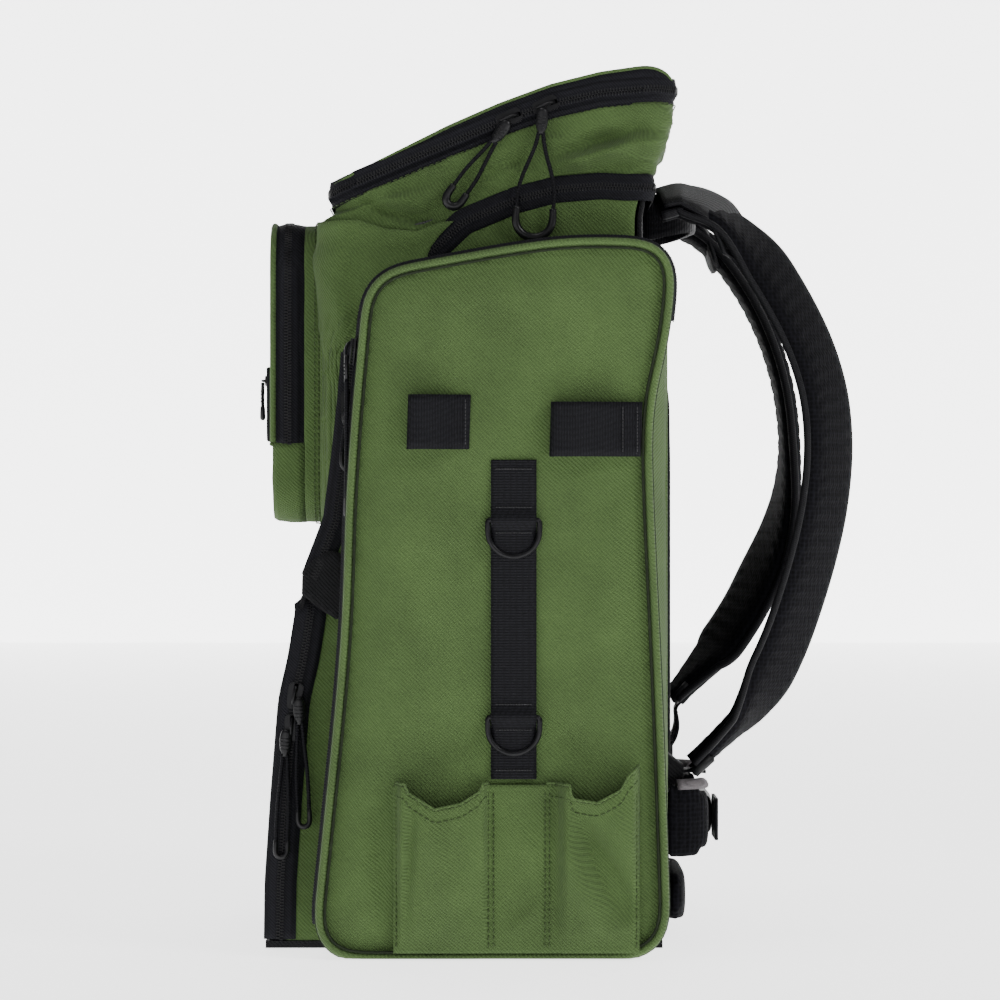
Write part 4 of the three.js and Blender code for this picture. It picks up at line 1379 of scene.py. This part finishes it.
def build_strap_end(name, way):
    """The ladder lock at a strap's foot, the webbing through it and the tab that holds it to the pack."""
    lock = f"ladder_lock_{name}"
    low, high = box(lock)
    centre = (low + high) / 2
    out = ACROSS.cross(way).normalized()
    bars = []
    for k in (-6.5, -1.4, 4.8):
        ends = [centre + way * k + Vector((s * 15.5, 0, 0)) + out * 0.6 for s in (-1, 1)]
        bars.append(tube([ends[0], ends[0].lerp(ends[1], 0.5), ends[1]], 2.1, 8))
    for s in (-1, 1):
        rail = [centre + way * k + Vector((s * 15.5, 0, 0)) for k in (-7.5, 0, 6)]
        bars.append(tube(rail, 3.0, 10))
    piece(f"ladder_lock_frame_{name}", *merged(*bars), "plastic", "bag_body", [lock])
    web = outline(f"strap_webbing_{name}", 0)
    low, high = box(f"strap_webbing_{name}")
    start = min(range(len(web)), key=lambda i: web[i].x)
    web = web[start:] + web[:start]
    one, other = resample(web[:len(web) // 2], 2), resample(web[len(web) // 2:][::-1], 2)
    count = min(len(one), len(other))
    rows = []
    for i in range(count):
        middle = (one[i] + other[i]) / 2
        rows.append([Vector((low.x + (high.x - low.x) * k / 6, *middle)) for k in range(7)])
    piece(f"strap_tail_{name}", *quads(rows), "web_flat", "bag_body", [f"strap_webbing_{name}"], thick=1.9)

    # The tail loops through the lock and comes back over itself; a folded tab holds it at the back panel.
    back = box("back_panel")[1].y
    middle = [(r[0] + r[-1]) / 2 for r in rows]
    if middle[0].y > middle[-1].y:
        middle.reverse()
    x = middle[0].x
    over = [m + Vector((0, -0.6, 3.2)) for m in middle] + [centre + out * 4.0]
    rows = [[p + Vector((w, 0, 0)) for w in (-12, -6, 0, 6, 12)] for p in smooth(resample(over, 2.5), 2)]
    piece(f"strap_return_{name}", *quads(rows), "web_flat", "bag_body", thick=1.6)
    root, reach = middle[0], 13.0
    rows = []
    for t in spread(0, 1, 8):
        centre = Vector((x, back + 0.2 + reach * t, root.z + 1.2))
        rows.append(oval(centre, UP, ACROSS, 15 - 10.5 * t, 14.5 - 1.0 * t, 20, 0.5))
    piece(f"strap_anchor_{name}", *capped(rows), "black", "bag_body")


def build_handle():
    """The haul handle, a wide webbing bow."""
    low, high = box("grab_handle")
    half, reach = high.x - 4, high.y
    rows = []
    for i in range(41):
        a = math.pi * i / 40
        x = half * math.copysign(abs(math.cos(a)) ** 0.6, math.cos(a))
        y = low.y - 1.5 + (reach - low.y) * math.sin(a) ** 0.7
        lift = 7.0 * math.sin(a)
        row = []
        for k in range(9):
            wave = 0.6 * ripple((x, 0, k * 3), 20)
            row.append(Vector((x, y, low.z + lift + (high.z - low.z) * k / 8 + wave)))
        rows.append(row)
    piece("grab_handle_web", *quads(rows), "web_flat", "bag_body", ["grab_handle"], thick=3.2)


def inflate(made, pressure, cap, frames=14, voxel=5.0):
    """Swells a padded piece by cloth simulation, and holds each point within cap of where it started."""
    bpy.context.view_layer.update()
    remesh = made.modifiers.new("remesh", "REMESH")
    remesh.mode = "VOXEL"
    remesh.voxel_size = voxel * MM
    graph = bpy.context.evaluated_depsgraph_get()
    made.data = bpy.data.meshes.new_from_object(made.evaluated_get(graph))
    made.modifiers.clear()
    start = [v.co.copy() for v in made.data.vertices]
    cloth = made.modifiers.new("cloth", "CLOTH")
    cloth.settings.use_pressure = True
    cloth.settings.uniform_pressure_force = pressure
    cloth.settings.effector_weights.gravity = 0
    cloth.settings.quality = 5
    cloth.settings.tension_stiffness = 12
    cloth.point_cache.frame_start, cloth.point_cache.frame_end = 1, frames
    for step in range(1, frames + 1):
        bpy.context.scene.frame_set(step)
    graph = bpy.context.evaluated_depsgraph_get()
    swollen = [v.co.copy() for v in made.evaluated_get(graph).data.vertices]
    made.modifiers.clear()
    bpy.context.scene.frame_set(1)
    for vertex, a, b in zip(made.data.vertices, start, swollen):
        move = b - a
        vertex.co = a + move * min(1.0, cap * MM / max(move.length, 1e-9))
    made.data.polygons.foreach_set("use_smooth", [True] * len(made.data.polygons))
    surface = made.modifiers.new("soft", "SUBSURF")
    surface.levels = surface.render_levels = 1


def pad(name, rows, look, body, slot, stands_for=(), cap=5.0, fill=0.7):
    """A padded piece from closed sections, swollen by simulation."""
    made = piece(name, *capped(rows), look, body, stands_for, slot=slot)
    inflate(made, 4.0, cap)
    made.data.materials.clear()
    made.data.materials.append(LOOKS[look])
    return made


def oval(centre, across, out, half_width, half_thick, count=24, power=0.6):
    """A squared oval ring of points about a centre."""
    ring = [2 * math.pi * k / count for k in range(count)]
    return [centre + across * half_width * math.copysign(abs(math.cos(a)) ** power, math.cos(a))
            + out * half_thick * math.copysign(abs(math.sin(a)) ** power, math.sin(a)) for a in ring]


def build_back():
    """Back panel cloth, its air-mesh pads, the lumbar pad and the hip belt."""
    loop = outline("back_panel", 0)
    low, high = box("back_panel")
    rear = sorted(stretch(loop, (high.y, low.z), (103, high.z)), key=lambda p: p.y)
    rear = [(p.y, p.x) for p in rear]
    half = high.x - 1.5
    rows = []
    for j in range(60):
        z = low.z + (high.z - low.z - 1) * j / 59
        y = height_on(rear, z)
        row = []
        for i in range(41):
            u = -1 + 2 * i / 40
            edge = min((1 - abs(u)) * half, z - low.z, high.z - z)
            swell = 1.4 * ease(0, 18, edge) + 0.4 * ripple((u * 80, 0, z), 30)
            row.append(Vector((-u * half, y - 1.4 + swell, z)))
        rows.append(row)
    piece("back_cloth", *quads(rows), "black", "bag_body", ["back_panel"], thick=2.5)

    for name, side in SIDES:
        rows = []
        for j in range(22):
            z = 62 + 325 * j / 21
            y = height_on(rear, z) + 2.2
            width = 30 * (0.35 + 0.65 * math.sin(math.pi * (j + 1.5) / 24) ** 0.35)
            rows.append(oval(Vector((side * 58, y, z)), ACROSS, REARWARD, width, 2.6))
        pad(f"back_pad_{name}", rows, "mesh", "bag_body", "strap_mesh", cap=3.5)

    low, high = box("lumbar_pad")
    rows = []
    for j in range(11):
        z = low.z + 3 + (high.z - low.z - 6) * j / 10
        width = (high.x - 5) * (0.75 + 0.25 * math.sin(math.pi * (j + 0.5) / 11) ** 0.5)
        rows.append(oval(Vector((0, (low.y + high.y) / 2 + 0.6, z)), ACROSS, REARWARD, width, 6.5, 36))
    pad("lumbar_cushion", rows, "mesh", "bag_body", "black_fabric", ["lumbar_pad"], cap=3.0)

    for name, side in SIDES:
        low, high = box("hip_wing_right")
        line = [(99, 111.5), (96.5, 119), (91, 127), (83, 133), (72.5, 136)]
        line = smooth(resample([Vector((side * x, y, (low.z + high.z) / 2)) for x, y in line], 3.5), 2)
        rows = []
        for i, at in enumerate(line):
            way = (line[min(i + 1, len(line) - 1)] - line[max(i - 1, 0)]).normalized()
            out = way.cross(UP).normalized()
            t = i / (len(line) - 1)
            rows.append(oval(at, UP, out, (high.z - low.z) / 2 * (0.98 - 0.22 * ease(0.5, 1, t)), 3.6, 28))
        pad(f"hip_pad_{name}", rows, "mesh", "bag_body", "black_fabric", [f"hip_wing_{name}"], cap=2.0)
        # Painted highlight: a grey tube along each hip wing's top edge, where the black cloth catches the
        # light.
        edge = [p + Vector((side * 1.5, 1.2, (high.z - low.z) / 2 * 0.93)) for p in line[2:-2]]
        piece(f"hip_edge_highlight_{name}", *tube(smooth(resample(edge, 3), 2), 2.2, 10, squash=1.6), "trim",
              "bag_body")


def build_buckle():
    """The hip belt's side-release buckle and its webbing."""
    for node in ("buckle_socket", "buckle_plug"):
        low, high = box(node)
        sign = -1 if node == "buckle_socket" else 1
        x0, x1 = (-36.0, -0.5) if sign < 0 else (0.5, 22.0)
        y, z = 137.5, (low.z + high.z) / 2
        rows = []
        for i in range(13):
            t = i / 12
            at = Vector((x0 + (x1 - x0) * t, y, z))
            waist = 1 - 0.12 * math.sin(math.pi * t) if sign < 0 else 1 - 0.2 * t
            rows.append(oval(at, UP, REARWARD, 13.5 * waist, 5.6 * (1 - 0.2 * abs(2 * t - 1) ** 3), 32, 0.5))
        body = "bag_body" if sign < 0 else "buckle_plug"
        piece(f"{node}_shell", *capped(rows), "plastic", body, [node])
        if sign > 0:
            prongs = [tube([Vector((1, 137.5, z + s * 7)), Vector((-12, 137.5, z + s * 8)),
                            Vector((-26, 137.5, z + s * 6))], 2.2, 8)
                      for s in (-1, 0, 1)]
            piece("buckle_prongs", *merged(*prongs), "plastic", body)
        ends = (-71, -34) if sign < 0 else (20, 63)
        lift = 137.5 if sign < 0 else 142.4
        rows = [[Vector((x, lift, z - 12 + 6 * k)) for x in spread(*ends, 10)] for k in range(5)]
        piece(f"{node}_web", *quads(rows), "web_flat", body, thick=1.8)


def finish_cad_nodes():
    """The CAD parts that still show get a finish of their own."""
    looks = {"bottom_panel": "black", "divider_shelf": "lining", "frame_sheet": "sheet"}
    for node, look in looks.items():
        mesh = frame["nodes"][node].data
        mesh.materials.clear()
        mesh.materials.append(LOOKS[look])


build_stage()
build_zip_pulls()
for side_name, side_sign in SIDES:
    build_side_pocket(side_name, side_sign)
    build_slip_pockets(side_name, side_sign)
    build_webbing_strip(side_name, side_sign)
    for loop_place in ("front", "back"):
        build_rod_loop(side_name, side_sign, loop_place)
build_d_rings()
build_flap()
build_top_box()
build_lid()
build_side_walls()
build_main_zip()
build_lower_zip()
build_lower_door()
build_upper_pocket()
build_net()
build_straps()
build_handle()
build_back()
build_buckle()
finish_cad_nodes()
